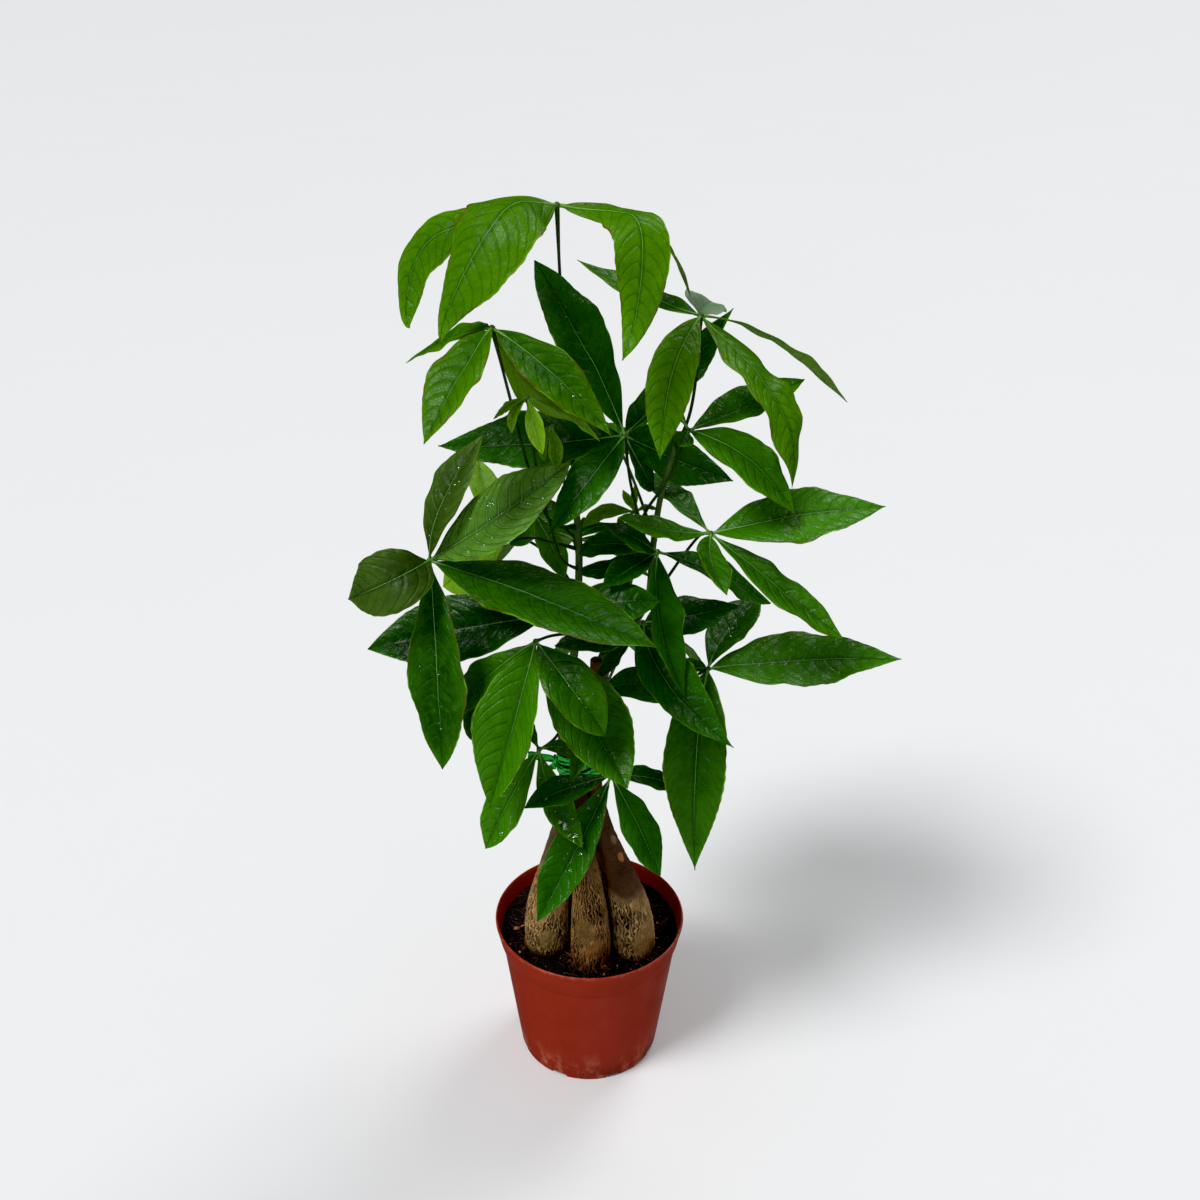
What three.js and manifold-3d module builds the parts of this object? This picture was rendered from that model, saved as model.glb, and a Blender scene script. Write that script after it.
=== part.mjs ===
import * as THREE from 'three';
import { mergeVertices } from 'three/addons/utils/BufferGeometryUtils.js';
import Module from 'manifold-3d';

// A potted money tree: five thick trunks tied at the neck, three leafy shoots, soil and pot.
// Millimetres, +Z up. The origin is the middle of the pot's base, on the floor.
const wasm = await Module();
wasm.setup();

// Pot
const potHeight = 141;
const potRimRadius = 85;
const potBaseRadius = 63.5;
const potWall = 2;
const potLedgeHeight = 115;
const potWallTopRadius = 78.4;
const potBandBottomRadius = 79.6;
const potLipTuck = 0.4;
const potSides = 40;
const notchCount = 8;
const notchWidth = 15;
const notchDepth = 10;
const notchHeight = 3.6;
const firstNotchDegrees = -115;

// Soil
const soilTop = 127;
const soilLump = 1.6;
const soilWaves = { wide: 0.13, deep: 0.17, slant: 0.29 };
const soilRings = [0.9, 0.62, 0.3];
const soilSides = 24;
const gap = 0.35;
const soilWallGap = 0.55;

// Trunks: centre at the soil, full radius, place in the tie, and top
const tieCentre = [-8, -12];
const tieRing = 12;
const tieRadius = 6.7;
const tieLow = 303;
const tieHigh = 329;
const bandHeight = 7;
const bandThickness = 1;
const bandLevels = [308, 318];
const knotSize = { wide: 4, deep: 11 };
const looseEnds = [
  { length: 22, width: 6, height: 316, tilt: 16 },
  { length: 14, width: 6, height: 311, tilt: -22 },
];
const trunkFoot = 62;
const trunkBend = 150;
const trunkTopClear = 8;
const trunkSides = 10;
const trunks = {
  trunk_left: { base: [-38, -23], radius: 19.6, turn: 198, top: [-24, -14, 380] },
  trunk_middle: { base: [1.5, -39], radius: 17.2, turn: -90, top: [-10, -26, 390] },
  trunk_right: { base: [39.7, -28.5], radius: 18.7, turn: -18, top: [5, -8, 410] },
  trunk_back_right: { base: [24, 18], radius: 17, turn: 54, top: [12, 6, 400] },
  trunk_back_left: { base: [-24, 20], radius: 17, turn: 126, top: [-16, 8, 395] },
};

// How thick a trunk is at each height, as a share of its full radius
const trunkSwell = [
  [trunkFoot, 0.45], [85, 0.75], [110, 0.93], [130, 1], [150, 1], [175, 0.93], [200, 0.76],
  [225, 0.57], [250, 0.43], [280, 0.36], [313, 0.34], [345, 0.32], [375, 0.3], [420, 0.27],
];

// Green shoots: points from inside the trunk's top upward, radius low and high
const shoots = {
  shoot_left: {
    points: [[-16, 8, 388], [-12, 2, 425], [-10, 0, 470], [-10, 0, 516], [-13, 0, 546], [-14, 0, 572]],
    radius: [3.6, 2.3],
  },
  shoot_right: {
    points: [[12, 6, 392], [32, 5, 430], [45, 5, 457], [48, 5, 500], [53, 10, 542], [63, 17, 584]],
    radius: [3.2, 2.1],
  },
  shoot_middle: {
    points: [[5, -8, 402], [20, -3, 443], [30, 0, 473], [35, 0, 512], [37, 0, 530]],
    radius: [2.6, 1.7],
  },
};
const shootSides = 8;

// Leaf parts
const bladeThickness = 0.9;
const bladeWave = 0.9;
const stalkRadius = 1.7;
const stalkSides = 5;
const hubRadius = 4;
const bladeStations = [0, 0.15, 0.36, 0.6, 0.83, 1];
const smallBladeStations = [0, 0.25, 0.65, 1];
const smallBladeWidth = 18;
const bladeRootWidth = 2.6;
const bladeTipWidth = 1.2;
const bladeStart = 1.4;

// Colours
const youngGreen = 0x4c9410;
const middleGreen = 0x2b7a12;
const darkGreen = 0x17590f;
const paleGreen = 0x8db04f;

// Each leaf: stalk points from its shoot to the hub, and its leaflets. A leaflet gives the points
// of its midrib after the hub, width, facing, fold in degrees, and where it is widest (0 to 1).
const leaves = {
  leaf_crown: {
    colour: youngGreen,
    hub: [-25, 0, 765],
    stalk: [[-14, 0, 568], [-15, 10, 590], [-16, 17, 612], [-18, 12, 650], [-23, 4, 710]],
    leaflets: [
      {
        rib: [[-51, -22, 771], [-74, -44, 752], [-91, -52, 718], [-105, -50, 676]],
        width: 62, face: [-0.25, -0.66, 0.71], fold: -21, widest: 0.43,
      },
      {
        rib: [[-93, 8, 757], [-119, 14, 733], [-133, 14, 702], [-134, 10, 669]],
        width: 37, face: [-0.6, -0.55, 0.55], fold: -12, widest: 0.62,
      },
      {
        rib: [[16, -14, 764], [33, -36, 745], [34, -48, 711], [21, -52, 669]],
        width: 38, face: [0.1, -0.4, 0.9], fold: -14,
      },
      { rib: [[34, 38, 746], [60, 46, 720], [74, 63, 687]], width: 28, face: [0.7, 0, 0.7] },
    ],
  },
  leaf_upper_left: {
    colour: youngGreen,
    hub: [-68, -50, 692],
    stalk: [[-12, 0, 522], [-30, -26, 538], [-45, -36, 583], [-57, -46, 640]],
    leaflets: [
      { rib: [[-88, -80, 682], [-108, -110, 629]], width: 42, face: [0, -0.7, 0.7], fold: 20, widest: 0.46 },
      { rib: [[-100, -15, 675], [-136, 0, 652]], width: 36, face: [-0.5, 0, 0.9] },
      { rib: [[-27, -70, 668], [13, -80, 626]], width: 42, face: [0.4, -0.6, 0.7], widest: 0.44 },
      { rib: [[-51, -27, 652], [-12, -30, 619]], width: 43, face: [0.8, -0.4, 0.5], fold: 7, widest: 0.58 },
    ],
  },
  young_leaf_left: {
    colour: paleGreen,
    hub: [-44, -60, 646],
    stalk: [[-10, 0, 486], [-22, -22, 505], [-30, -38, 540], [-40, -45, 592]],
    leaflets: [
      { rib: [[-55, -64, 643], [-68, -61, 631]], width: 11, face: [-0.5, -0.3, 0.8] },
      { rib: [[-53, -68, 638], [-55, -71, 624]], width: 11, face: [-0.6, -0.5, 0.6] },
      { rib: [[-39, -72, 632], [-33, -85, 614]], width: 14, face: [-0.3, -0.8, 0.5], fold: 17 },
      { rib: [[-18, -57, 634], [6, -60, 615]], width: 20, face: [0.5, 0, 0.9] },
    ],
  },
  young_leaf_hanging: {
    colour: paleGreen,
    hub: [-28, -45, 620],
    stalk: [[-14, 0, 554], [-19, -28, 562], [-20, -39, 582], [-20, -43, 604]],
    leaflets: [
      { rib: [[-33, -47, 608], [-34, -46, 594]], width: 12, face: [-0.6, -0.6, 0.2], fold: 25 },
      { rib: [[-26, -53, 608], [-25, -55, 592]], width: 12, face: [0.3, -0.9, 0.1], fold: 25 },
      { rib: [[-33, -43, 614], [-33, -40, 602]], width: 10, face: [-0.9, -0.2, 0.3], fold: 20 },
    ],
  },
  leaf_upper_middle: {
    colour: darkGreen,
    hub: [24, -20, 605],
    stalk: [[48, 5, 492], [41, -7, 518], [35, -12, 541], [29, -15, 567]],
    leaflets: [
      { rib: [[0, -30, 663], [-40, -18, 731]], width: 54, face: [0.7, -0.6, 0.4], widest: 0.57 },
      { rib: [[-46, 0, 590], [-115, -5, 590]], width: 53, face: [-0.2, -0.6, 0.8], fold: 14, widest: 0.47 },
      { rib: [[1, -50, 585], [-30, -68, 547]], width: 35, face: [-0.3, -0.6, 0.7], widest: 0.47 },
      { rib: [[68, 52, 628], [107, 64, 678]], width: 49, face: [-0.5, -0.3, 0.8], widest: 0.5 },
      { rib: [[69, 47, 560], [113, 50, 542]], width: 44, face: [0.3, -0.7, 0.5], widest: 0.52 },
      { rib: [[35, -8, 580], [49, 22, 545]], width: 24, face: [0.8, -0.5, 0.2] },
    ],
  },
  leaf_upper_right: {
    colour: youngGreen,
    hub: [80, 30, 681],
    stalk: [[63, 17, 580], [73, 14, 608], [78, 18, 645]],
    leaflets: [
      { rib: [[61, -6, 661], [53, -17, 631], [52, -27, 590]], width: 36, face: [-0.1, -0.9, 0.3] },
      { rib: [[107, 14, 664], [136, -18, 628], [151, -27, 570]], width: 52, face: [0.5, -0.3, 0.8] },
      { rib: [[135, 42, 660], [197, 43, 611]], width: 50, face: [0.5, 0.3, 0.8] },
      { rib: [[35, 49, 693], [-12, 62, 714]], width: 39, face: [0.3, -0.2, 0.9], widest: 0.45 },
      { rib: [[84, 77, 674], [96, 128, 667]], width: 38, face: [0.4, 0, 0.9], fold: 19 },
    ],
  },
  leaf_right_high: {
    colour: middleGreen,
    hub: [72, 0, 602],
    stalk: [[37, 0, 524], [43, -9, 543], [54, -12, 562], [64, -8, 582]],
    leaflets: [
      { rib: [[113, -29, 592], [151, -39, 551]], width: 46, face: [0.3, -0.4, 0.8], widest: 0.47 },
      { rib: [[114, 26, 611], [163, 46, 628]], width: 40, face: [-0.1, -0.3, 0.9], fold: 15 },
      { rib: [[69, -9, 600], [64, -17, 596]], width: 16, face: [0.4, -0.2, 0.9] },
      { rib: [[55, 32, 609], [34, 65, 578]], width: 17, face: [-0.4, -0.5, 0.7] },
    ],
  },
  leaf_right_middle: {
    colour: middleGreen,
    hub: [91, -20, 527],
    stalk: [[46, 5, 460], [57, 12, 468], [72, 16, 490], [85, 4, 515]],
    leaflets: [
      { rib: [[155, -20, 542], [224, -7, 545]], width: 53, face: [-0.1, -0.4, 0.9], widest: 0.47 },
      { rib: [[139, -42, 495], [192, -57, 457]], width: 48, face: [0.5, -0.2, 0.8] },
      { rib: [[89, -61, 521], [98, -92, 511]], width: 29, face: [0.5, -0.1, 0.9], fold: 11 },
      { rib: [[54, -34, 536], [20, -49, 552]], width: 30, face: [0.4, -0.1, 0.9] },
      { rib: [[68, 24, 535], [47, 66, 543]], width: 34, face: [0.4, -0.3, 0.9], widest: 0.66 },
    ],
  },
  leaf_inner: {
    colour: darkGreen,
    hub: [51, -15, 509],
    stalk: [[46, 5, 466], [48, -5, 480], [50, -11, 495]],
    leaflets: [
      { rib: [[31, -38, 532], [7, -30, 540]], width: 25, face: [0.6, -0.3, 0.7] },
      { rib: [[22, -21, 518], [-10, 13, 500]], width: 29, face: [-0.2, -0.4, 0.9], widest: 0.61 },
      { rib: [[29, -40, 506], [9, -62, 502]], width: 24, face: [0.2, -0.3, 0.9], fold: 15 },
      { rib: [[53, -45, 461], [74, -63, 407]], width: 43, face: [0.7, -0.5, 0.4], fold: 23, widest: 0.45 },
      { rib: [[96, 3, 484], [148, 31, 442]], width: 47, face: [0.6, 0, 0.8], widest: 0.57 },
      { rib: [[20, -8, 493], [-12, 12, 480]], width: 26, face: [-0.4, -0.1, 0.9] },
    ],
  },
  leaf_right_low: {
    colour: middleGreen,
    hub: [96, 0, 397],
    stalk: [[11, 5, 380], [30, 8, 371], [50, 8, 373], [75, 5, 381]],
    leaflets: [
      { rib: [[172, 10, 400], [252, -4, 410]], width: 61, face: [-0.1, -0.3, 1], widest: 0.47 },
      { rib: [[114, 35, 413], [145, 73, 425]], width: 37, face: [-0.1, -0.3, 0.9], fold: 13 },
      { rib: [[86, -44, 341], [88, -60, 238]], width: 53, face: [-0.3, -0.9, 0.3], fold: 10, widest: 0.42 },
      { rib: [[85, 18, 387], [63, 44, 368]], width: 23, face: [-0.7, 0, 0.8] },
    ],
  },
  leaf_centre_front: {
    colour: darkGreen,
    hub: [41, -20, 450],
    stalk: [[9, -7, 414], [20, -15, 423], [32, -20, 437]],
    leaflets: [
      { rib: [[60, -53, 414], [111, -83, 375]], width: 48, face: [0.3, -0.6, 0.8], fold: 21, widest: 0.42 },
      { rib: [[85, 4, 445], [119, 3, 454]], width: 37, face: [0, -0.5, 0.9], widest: 0.45 },
      { rib: [[10, -39, 444], [-27, -61, 451]], width: 31, face: [0.1, -0.2, 1], fold: 12 },
      { rib: [[21, -28, 425], [1, -44, 406]], width: 24, face: [-0.7, -0.1, 0.7] },
    ],
  },
  leaf_left_big: {
    colour: middleGreen,
    hub: [-121, -40, 512],
    stalk: [[-11, 0, 504], [-29, -15, 516], [-48, -28, 526], [-83, -36, 520]],
    leaflets: [
      { rib: [[-33, -87, 503], [48, -114, 480]], width: 75, face: [0.1, -0.1, 1], widest: 0.52 },
      { rib: [[-115, -76, 451], [-113, -92, 359]], width: 57, face: [-0.6, -0.8, 0.3] },
      { rib: [[-144, -77, 513], [-184, -45, 481]], width: 47, face: [-0.1, -0.9, 0.4] },
      { rib: [[-109, -47, 561], [-79, -24, 606]], width: 38, face: [-0.7, -0.6, 0.4] },
      { rib: [[-65, -67, 561], [-15, -50, 595]], width: 52, face: [-0.5, -0.6, 0.6], fold: 7, widest: 0.56 },
    ],
  },
  leaf_left_back: {
    colour: paleGreen,
    hub: [-69, 20, 506],
    stalk: [[-10, 0, 462], [-26, 16, 482], [-48, 20, 500]],
    leaflets: [
      { rib: [[-83, 35, 530], [-93, 75, 550]], width: 30, face: [0.5, -0.4, 0.8], widest: 0.59 },
      { rib: [[-87, 4, 496], [-122, 34, 453]], width: 40, face: [-0.2, -0.8, 0.5] },
    ],
  },
  leaf_left_inner: {
    colour: middleGreen,
    hub: [-44, -8, 538],
    stalk: [[-11, 2, 512], [-26, 5, 524], [-38, -3, 535]],
    leaflets: [
      { rib: [[-32, 5, 506], [-21, 2, 476]], width: 24, face: [-0.3, -1, 0] },
      { rib: [[-52, -12, 525], [-62, -16, 514]], width: 25, face: [-0.3, -0.6, 0.7] },
      { rib: [[-33, -10, 541], [-24, -8, 545]], width: 21, face: [-0.3, -0.6, 0.7] },
    ],
  },
  leaf_front_low: {
    colour: middleGreen,
    hub: [-41, -65, 457],
    stalk: [[-12, 2, 425], [-20, -22, 440], [-32, -48, 452]],
    leaflets: [
      {
        rib: [[-56, -93, 405], [-76, -110, 336]],
        width: 61, face: [-0.4, -0.8, 0.4], fold: 35, widest: 0.47,
      },
      { rib: [[-12, -106, 439], [12, -114, 405]], width: 41, face: [0.2, -0.6, 0.8], fold: 10 },
      { rib: [[-8, -73, 405], [29, -118, 361]], width: 62, face: [0.3, -0.7, 0.6], fold: 19 },
      {
        rib: [[-73, -69, 433], [-108, -54, 387]],
        width: 35, face: [-0.7, -0.5, 0.6], fold: 13, widest: 0.61,
      },
      { rib: [[-71, -42, 396], [-87, -82, 378]], width: 47, face: [-0.4, -0.8, 0.4], fold: 15, widest: 0.61 },
    ],
  },
  leaf_left_dark: {
    colour: darkGreen,
    hub: [-27, -40, 467],
    stalk: [[-10, 0, 455], [-16, -16, 460], [-23, -30, 464]],
    leaflets: [
      { rib: [[15, -61, 488], [52, -55, 487]], width: 36, face: [-0.2, -0.6, 0.8], widest: 0.56 },
      { rib: [[-103, -19, 442], [-177, -22, 425]], width: 57, face: [-0.3, -0.7, 0.6], fold: 11 },
    ],
  },
  leaf_low_inner: {
    colour: middleGreen,
    hub: [8, -35, 396],
    stalk: [[-10, -26, 386], [-3, -29, 389], [3, -33, 392]],
    leaflets: [
      { rib: [[37, -46, 409], [72, -33, 391]], width: 32, face: [0.1, -0.6, 0.8], fold: 15 },
      { rib: [[0, -67, 375], [-15, -83, 342]], width: 29, face: [-0.7, -0.3, 0.6], fold: 14 },
    ],
  },
  leaf_low_left: {
    colour: middleGreen,
    hub: [-40, -60, 357],
    stalk: [[-22, -15, 352], [-28, -32, 350], [-36, -50, 353]],
    leaflets: [
      { rib: [[-61, -79, 326], [-83, -85, 278]], width: 37, face: [-0.5, -0.7, 0.5], fold: 14, widest: 0.56 },
      { rib: [[-22, -57, 357], [-1, -49, 344]], width: 17, face: [0.4, -0.4, 0.8] },
      { rib: [[-30, -72, 322], [-5, -98, 290]], width: 32, face: [0.7, -0.5, 0.6] },
      { rib: [[-46, -53, 366], [-53, -42, 380]], width: 12, face: [0.6, -0.5, 0.7] },
    ],
  },
  leaf_low_front: {
    colour: darkGreen,
    hub: [17, -60, 332],
    stalk: [[-9, -25, 345], [2, -38, 338], [11, -51, 334]],
    leaflets: [
      { rib: [[-6, -77, 282], [-41, -111, 226]], width: 43, face: [-0.3, -0.8, 0.5], fold: 32 },
      { rib: [[-17, -80, 334], [-50, -100, 329]], width: 28, face: [0.1, -0.2, 1] },
      { rib: [[37, -74, 299], [58, -86, 253]], width: 35, face: [0.6, -0.6, 0.5] },
      { rib: [[49, -40, 317], [74, -18, 292]], width: 25, face: [0.5, -0.1, 0.8] },
    ],
  },
  leaf_back_high: {
    colour: middleGreen,
    hub: [20, 75, 565],
    stalk: [[50, 7, 508], [44, 25, 520], [32, 50, 545]],
    leaflets: [
      { rib: [[-5, 110, 565], [-35, 140, 535]], width: 48, face: [-0.2, 0.3, 0.9] },
      { rib: [[28, 125, 560], [30, 165, 520]], width: 52, face: [0, 0.3, 0.9] },
      { rib: [[55, 100, 560], [90, 120, 525]], width: 45, face: [0.3, 0.2, 0.9] },
      { rib: [[-10, 75, 555], [-45, 80, 520]], width: 36, face: [-0.4, 0, 0.9] },
    ],
  },
  leaf_back_middle: {
    colour: middleGreen,
    hub: [-15, 70, 480],
    stalk: [[-10, 0, 445], [-10, 20, 460], [-12, 48, 475]],
    leaflets: [
      { rib: [[-50, 95, 475], [-85, 110, 435]], width: 46, face: [-0.4, 0.3, 0.9] },
      { rib: [[-25, 120, 470], [-35, 155, 425]], width: 52, face: [-0.1, 0.4, 0.9] },
      { rib: [[15, 110, 475], [40, 140, 435]], width: 48, face: [0.3, 0.4, 0.9] },
      { rib: [[20, 75, 470], [50, 80, 440]], width: 36, face: [0.4, 0, 0.9] },
    ],
  },
  leaf_back_low: {
    colour: darkGreen,
    hub: [30, 70, 385],
    stalk: [[11, 6, 372], [16, 24, 374], [24, 48, 381]],
    leaflets: [
      { rib: [[70, 95, 375], [100, 105, 330]], width: 44, face: [0.4, 0.3, 0.9] },
      { rib: [[38, 120, 375], [45, 150, 325]], width: 52, face: [0.1, 0.5, 0.9] },
      { rib: [[-5, 105, 375], [-30, 125, 330]], width: 46, face: [-0.3, 0.4, 0.9] },
    ],
  },
  young_buds: {
    colour: paleGreen,
    hub: [34, 8, 532],
    stalk: [[36, 0, 518], [37, 5, 526]],
    leaflets: [
      { rib: [[10, 8, 532], [-7, 8, 519]], width: 15, face: [-0.2, -0.5, 0.9] },
      { rib: [[26, 0, 531], [20, -8, 528]], width: 9, face: [0, 0, 1] },
      { rib: [[44, 14, 534], [54, 20, 528]], width: 9, face: [0.3, 0, 1] },
      { rib: [[29, 8, 541], [24, 6, 551]], width: 7, face: [-0.3, -0.9, 0.2] },
      { rib: [[33, 10, 541], [33, 12, 552]], width: 6, face: [0.2, -0.9, 0.2] },
    ],
  },
};

const vector = (p) => new THREE.Vector3(p[0], p[1], p[2]);

// A closed geometry as a solid, from its positions alone
function solidOf(geometry) {
  const bare = geometry.clone();
  bare.deleteAttribute('normal');
  bare.deleteAttribute('uv');
  const merged = mergeVertices(bare, 1e-4);
  const vertProperties = new Float32Array(merged.attributes.position.array);
  const triVerts = new Uint32Array(merged.index.array);
  return new wasm.Manifold(new wasm.Mesh({ numProp: 3, vertProperties, triVerts }));
}

// The biggest single body of a solid
function largest(solid) {
  const bodies = solid.decompose();
  bodies.sort((a, b) => b.volume() - a.volume());
  return bodies[0];
}

function geometryOf(solid) {
  const mesh = solid.getMesh();
  const geometry = new THREE.BufferGeometry();
  geometry.setAttribute('position', new THREE.BufferAttribute(mesh.vertProperties, 3));
  geometry.setIndex(new THREE.BufferAttribute(mesh.triVerts, 1));
  return geometry;
}

function fuse(solids) {
  let whole = solids[0];
  for (const solid of solids.slice(1)) {
    whole = whole.add(solid);
  }
  return whole;
}

function cut(solid, cutters) {
  let rest = solid;
  for (const cutter of cutters) {
    rest = rest.subtract(cutter);
  }
  return rest;
}

// Straight-line value between the rows of a table of [key, value]
function between(table, key) {
  if (key <= table[0][0]) {
    return table[0][1];
  }
  for (let i = 1; i < table.length; i += 1) {
    const [low, high] = [table[i - 1], table[i]];
    if (key <= high[0]) {
      return THREE.MathUtils.lerp(low[1], high[1], (key - low[0]) / (high[0] - low[0]));
    }
  }
  return table[table.length - 1][1];
}

// A turned shape that stands upright
function turned(profile, sides) {
  const points = profile.map(([radius, z]) => new THREE.Vector2(radius, z));
  return new THREE.LatheGeometry(points, sides).rotateX(Math.PI / 2);
}

// Moves every corner of a geometry by a rule
function moved(geometry, rule) {
  const position = geometry.attributes.position;
  const corner = new THREE.Vector3();
  for (let i = 0; i < position.count; i += 1) {
    corner.fromBufferAttribute(position, i);
    rule(corner);
    position.setXYZ(i, corner.x, corner.y, corner.z);
  }
  return geometry;
}

// Inside of the pot, from the floor up
const potInside = [
  [potBaseRadius - potWall, potWall],
  [potWallTopRadius - potWall, potLedgeHeight - 1],
  [potBandBottomRadius - potWall, potLedgeHeight + 2],
  [potRimRadius - potWall - 0.6, potHeight - 3],
  [potRimRadius - potWall + 0.2, potHeight - 0.7],
];

function potSolid() {
  const outside = [
    [0, 0],
    [potBaseRadius - 1, 0],
    [potBaseRadius, 1],
    [potWallTopRadius, potLedgeHeight - 1],
    [potBandBottomRadius, potLedgeHeight],
    [potRimRadius - potLipTuck, potHeight - 3],
    [potRimRadius, potHeight - 1.6],
    [potRimRadius - 0.3, potHeight - 0.2],
    [potRimRadius - potWall / 2, potHeight],
  ];
  const profile = [...outside, ...potInside.slice().reverse(), [0, potWall]];
  const notches = [];
  for (let i = 0; i < notchCount; i += 1) {
    const turn = THREE.MathUtils.degToRad(firstNotchDegrees + (i * 360) / notchCount);
    const notch = new THREE.BoxGeometry(notchDepth, notchWidth, 2 * notchHeight);
    notch.translate(potBaseRadius, 0, 0).rotateZ(turn);
    notches.push(solidOf(notch));
  }
  return cut(solidOf(turned(profile, potSides)), notches);
}

// Lumpy top of the soil
function soilRise(x, y) {
  const rolling = 0.5 * Math.sin(x * soilWaves.wide + 1) * Math.cos(y * soilWaves.deep);
  return soilLump * (rolling + 0.4 * Math.sin((x + y) * soilWaves.slant));
}

function soilSolid(cutters) {
  const wallRows = potInside.slice(0, 3).map(([radius, z]) => [radius - soilWallGap, z]);
  const bandTop = between(potInside.map(([radius, z]) => [z, radius]), soilTop) - soilWallGap;
  const profile = [
    [0, potWall + gap],
    [wallRows[0][0], potWall + gap],
    wallRows[1],
    wallRows[2],
    [bandTop, soilTop],
    ...soilRings.map((share) => [share * bandTop, soilTop]),
    [0, soilTop],
  ];
  const soil = moved(turned(profile, soilSides), (corner) => {
    const inside = Math.hypot(corner.x, corner.y) < bandTop * 0.95;
    if (corner.z > soilTop - 0.5 && inside) {
      corner.z += soilRise(corner.x, corner.y);
    }
  });
  return cut(solidOf(soil), cutters);
}

// Middle of a trunk at a height: upright in the soil, leaning to the tie, then out to its top
function trunkMiddle(trunk, z) {
  const turn = THREE.MathUtils.degToRad(trunk.turn);
  const neck = [tieCentre[0] + tieRing * Math.cos(turn), tieCentre[1] + tieRing * Math.sin(turn)];
  const lean = THREE.MathUtils.smoothstep(z, trunkBend - 10, tieLow);
  const open = THREE.MathUtils.clamp((z - tieHigh) / (trunk.top[2] - tieHigh), 0, 1);
  return [0, 1].map((axis) => {
    const low = THREE.MathUtils.lerp(trunk.base[axis], neck[axis], lean);
    return THREE.MathUtils.lerp(low, trunk.top[axis], open);
  });
}

function trunkSolid(trunk, swell) {
  const top = trunk.top[2];
  const levels = trunkSwell.map(([z]) => z).filter((z) => z > trunkFoot && z < top - trunkTopClear);
  const profile = [[0, trunkFoot - swell]];
  profile.push([trunk.radius * between(trunkSwell, trunkFoot) + swell, trunkFoot - swell]);
  for (const z of [...levels, top]) {
    profile.push([trunk.radius * between(trunkSwell, z) + swell, z === top ? top + swell : z]);
  }
  profile.push([0, top + swell]);
  return solidOf(moved(turned(profile, trunkSides), (corner) => {
    const middle = trunkMiddle(trunk, corner.z);
    corner.x += middle[0];
    corner.y += middle[1];
  }));
}

// A round tube along a curve, thinner toward its end
function tube(places, radiusLow, radiusHigh, sides, longer = 0) {
  const points = places.map(vector);
  const last = points.length - 1;
  const lowEnd = points[0].clone().sub(points[1]).setLength(longer);
  const highEnd = points[last].clone().sub(points[last - 1]).setLength(longer);
  points[0].add(lowEnd);
  points[last].add(highEnd);
  const curve = new THREE.CatmullRomCurve3(points, false, 'centripetal');
  const steps = points.length + 2;
  const circle = new THREE.Shape();
  for (let i = 0; i < sides; i += 1) {
    const turn = (i * 2 * Math.PI) / sides;
    circle[i === 0 ? 'moveTo' : 'lineTo'](radiusLow * Math.cos(turn), radiusLow * Math.sin(turn));
  }
  circle.closePath();
  const options = { steps, bevelEnabled: false, extrudePath: curve, curveSegments: 1 };
  const geometry = new THREE.ExtrudeGeometry(circle, options);
  const rings = curve.getSpacedPoints(steps);
  return solidOf(moved(geometry, (corner) => {
    let near = 0;
    rings.forEach((ring, i) => {
      near = ring.distanceToSquared(corner) < rings[near].distanceToSquared(corner) ? i : near;
    });
    const share = THREE.MathUtils.lerp(1, radiusHigh / radiusLow, near / steps);
    corner.sub(rings[near]).multiplyScalar(share).add(rings[near]);
  }));
}

// The smooth curve through a leaflet's midrib points, at t from 0 to 1
function ribPoint(points, t) {
  const place = t * (points.length - 1);
  const out = new THREE.Vector3();
  points.forEach((point, i) => {
    let weight = 1;
    points.forEach((other, j) => {
      weight *= j === i ? 1 : (place - j) / (i - j);
    });
    out.addScaledVector(point, weight);
  });
  return out;
}

// The midrib at an even share of its length
function ribAtLength(points, share) {
  const parts = 24;
  const lengths = [0];
  let last = points[0];
  for (let i = 1; i <= parts; i += 1) {
    const next = ribPoint(points, i / parts);
    lengths.push(lengths[i - 1] + next.distanceTo(last));
    last = next;
  }
  const goal = share * lengths[parts];
  const table = lengths.map((length, i) => [length, i / parts]);
  return between(table, goal);
}

// Half width of a leaflet at a share of its length, pointed at both ends
function halfWidth(share, width, widest) {
  const rise = (1.25 * widest) / 0.55;
  const fall = (rise * (1 - widest)) / widest;
  const shape = share ** rise * (1 - share) ** fall;
  const most = widest ** rise * (1 - widest) ** fall;
  const least = THREE.MathUtils.lerp(bladeRootWidth, bladeTipWidth, share) / 2;
  return Math.max((shape / most) * (width / 2), least);
}

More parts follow.
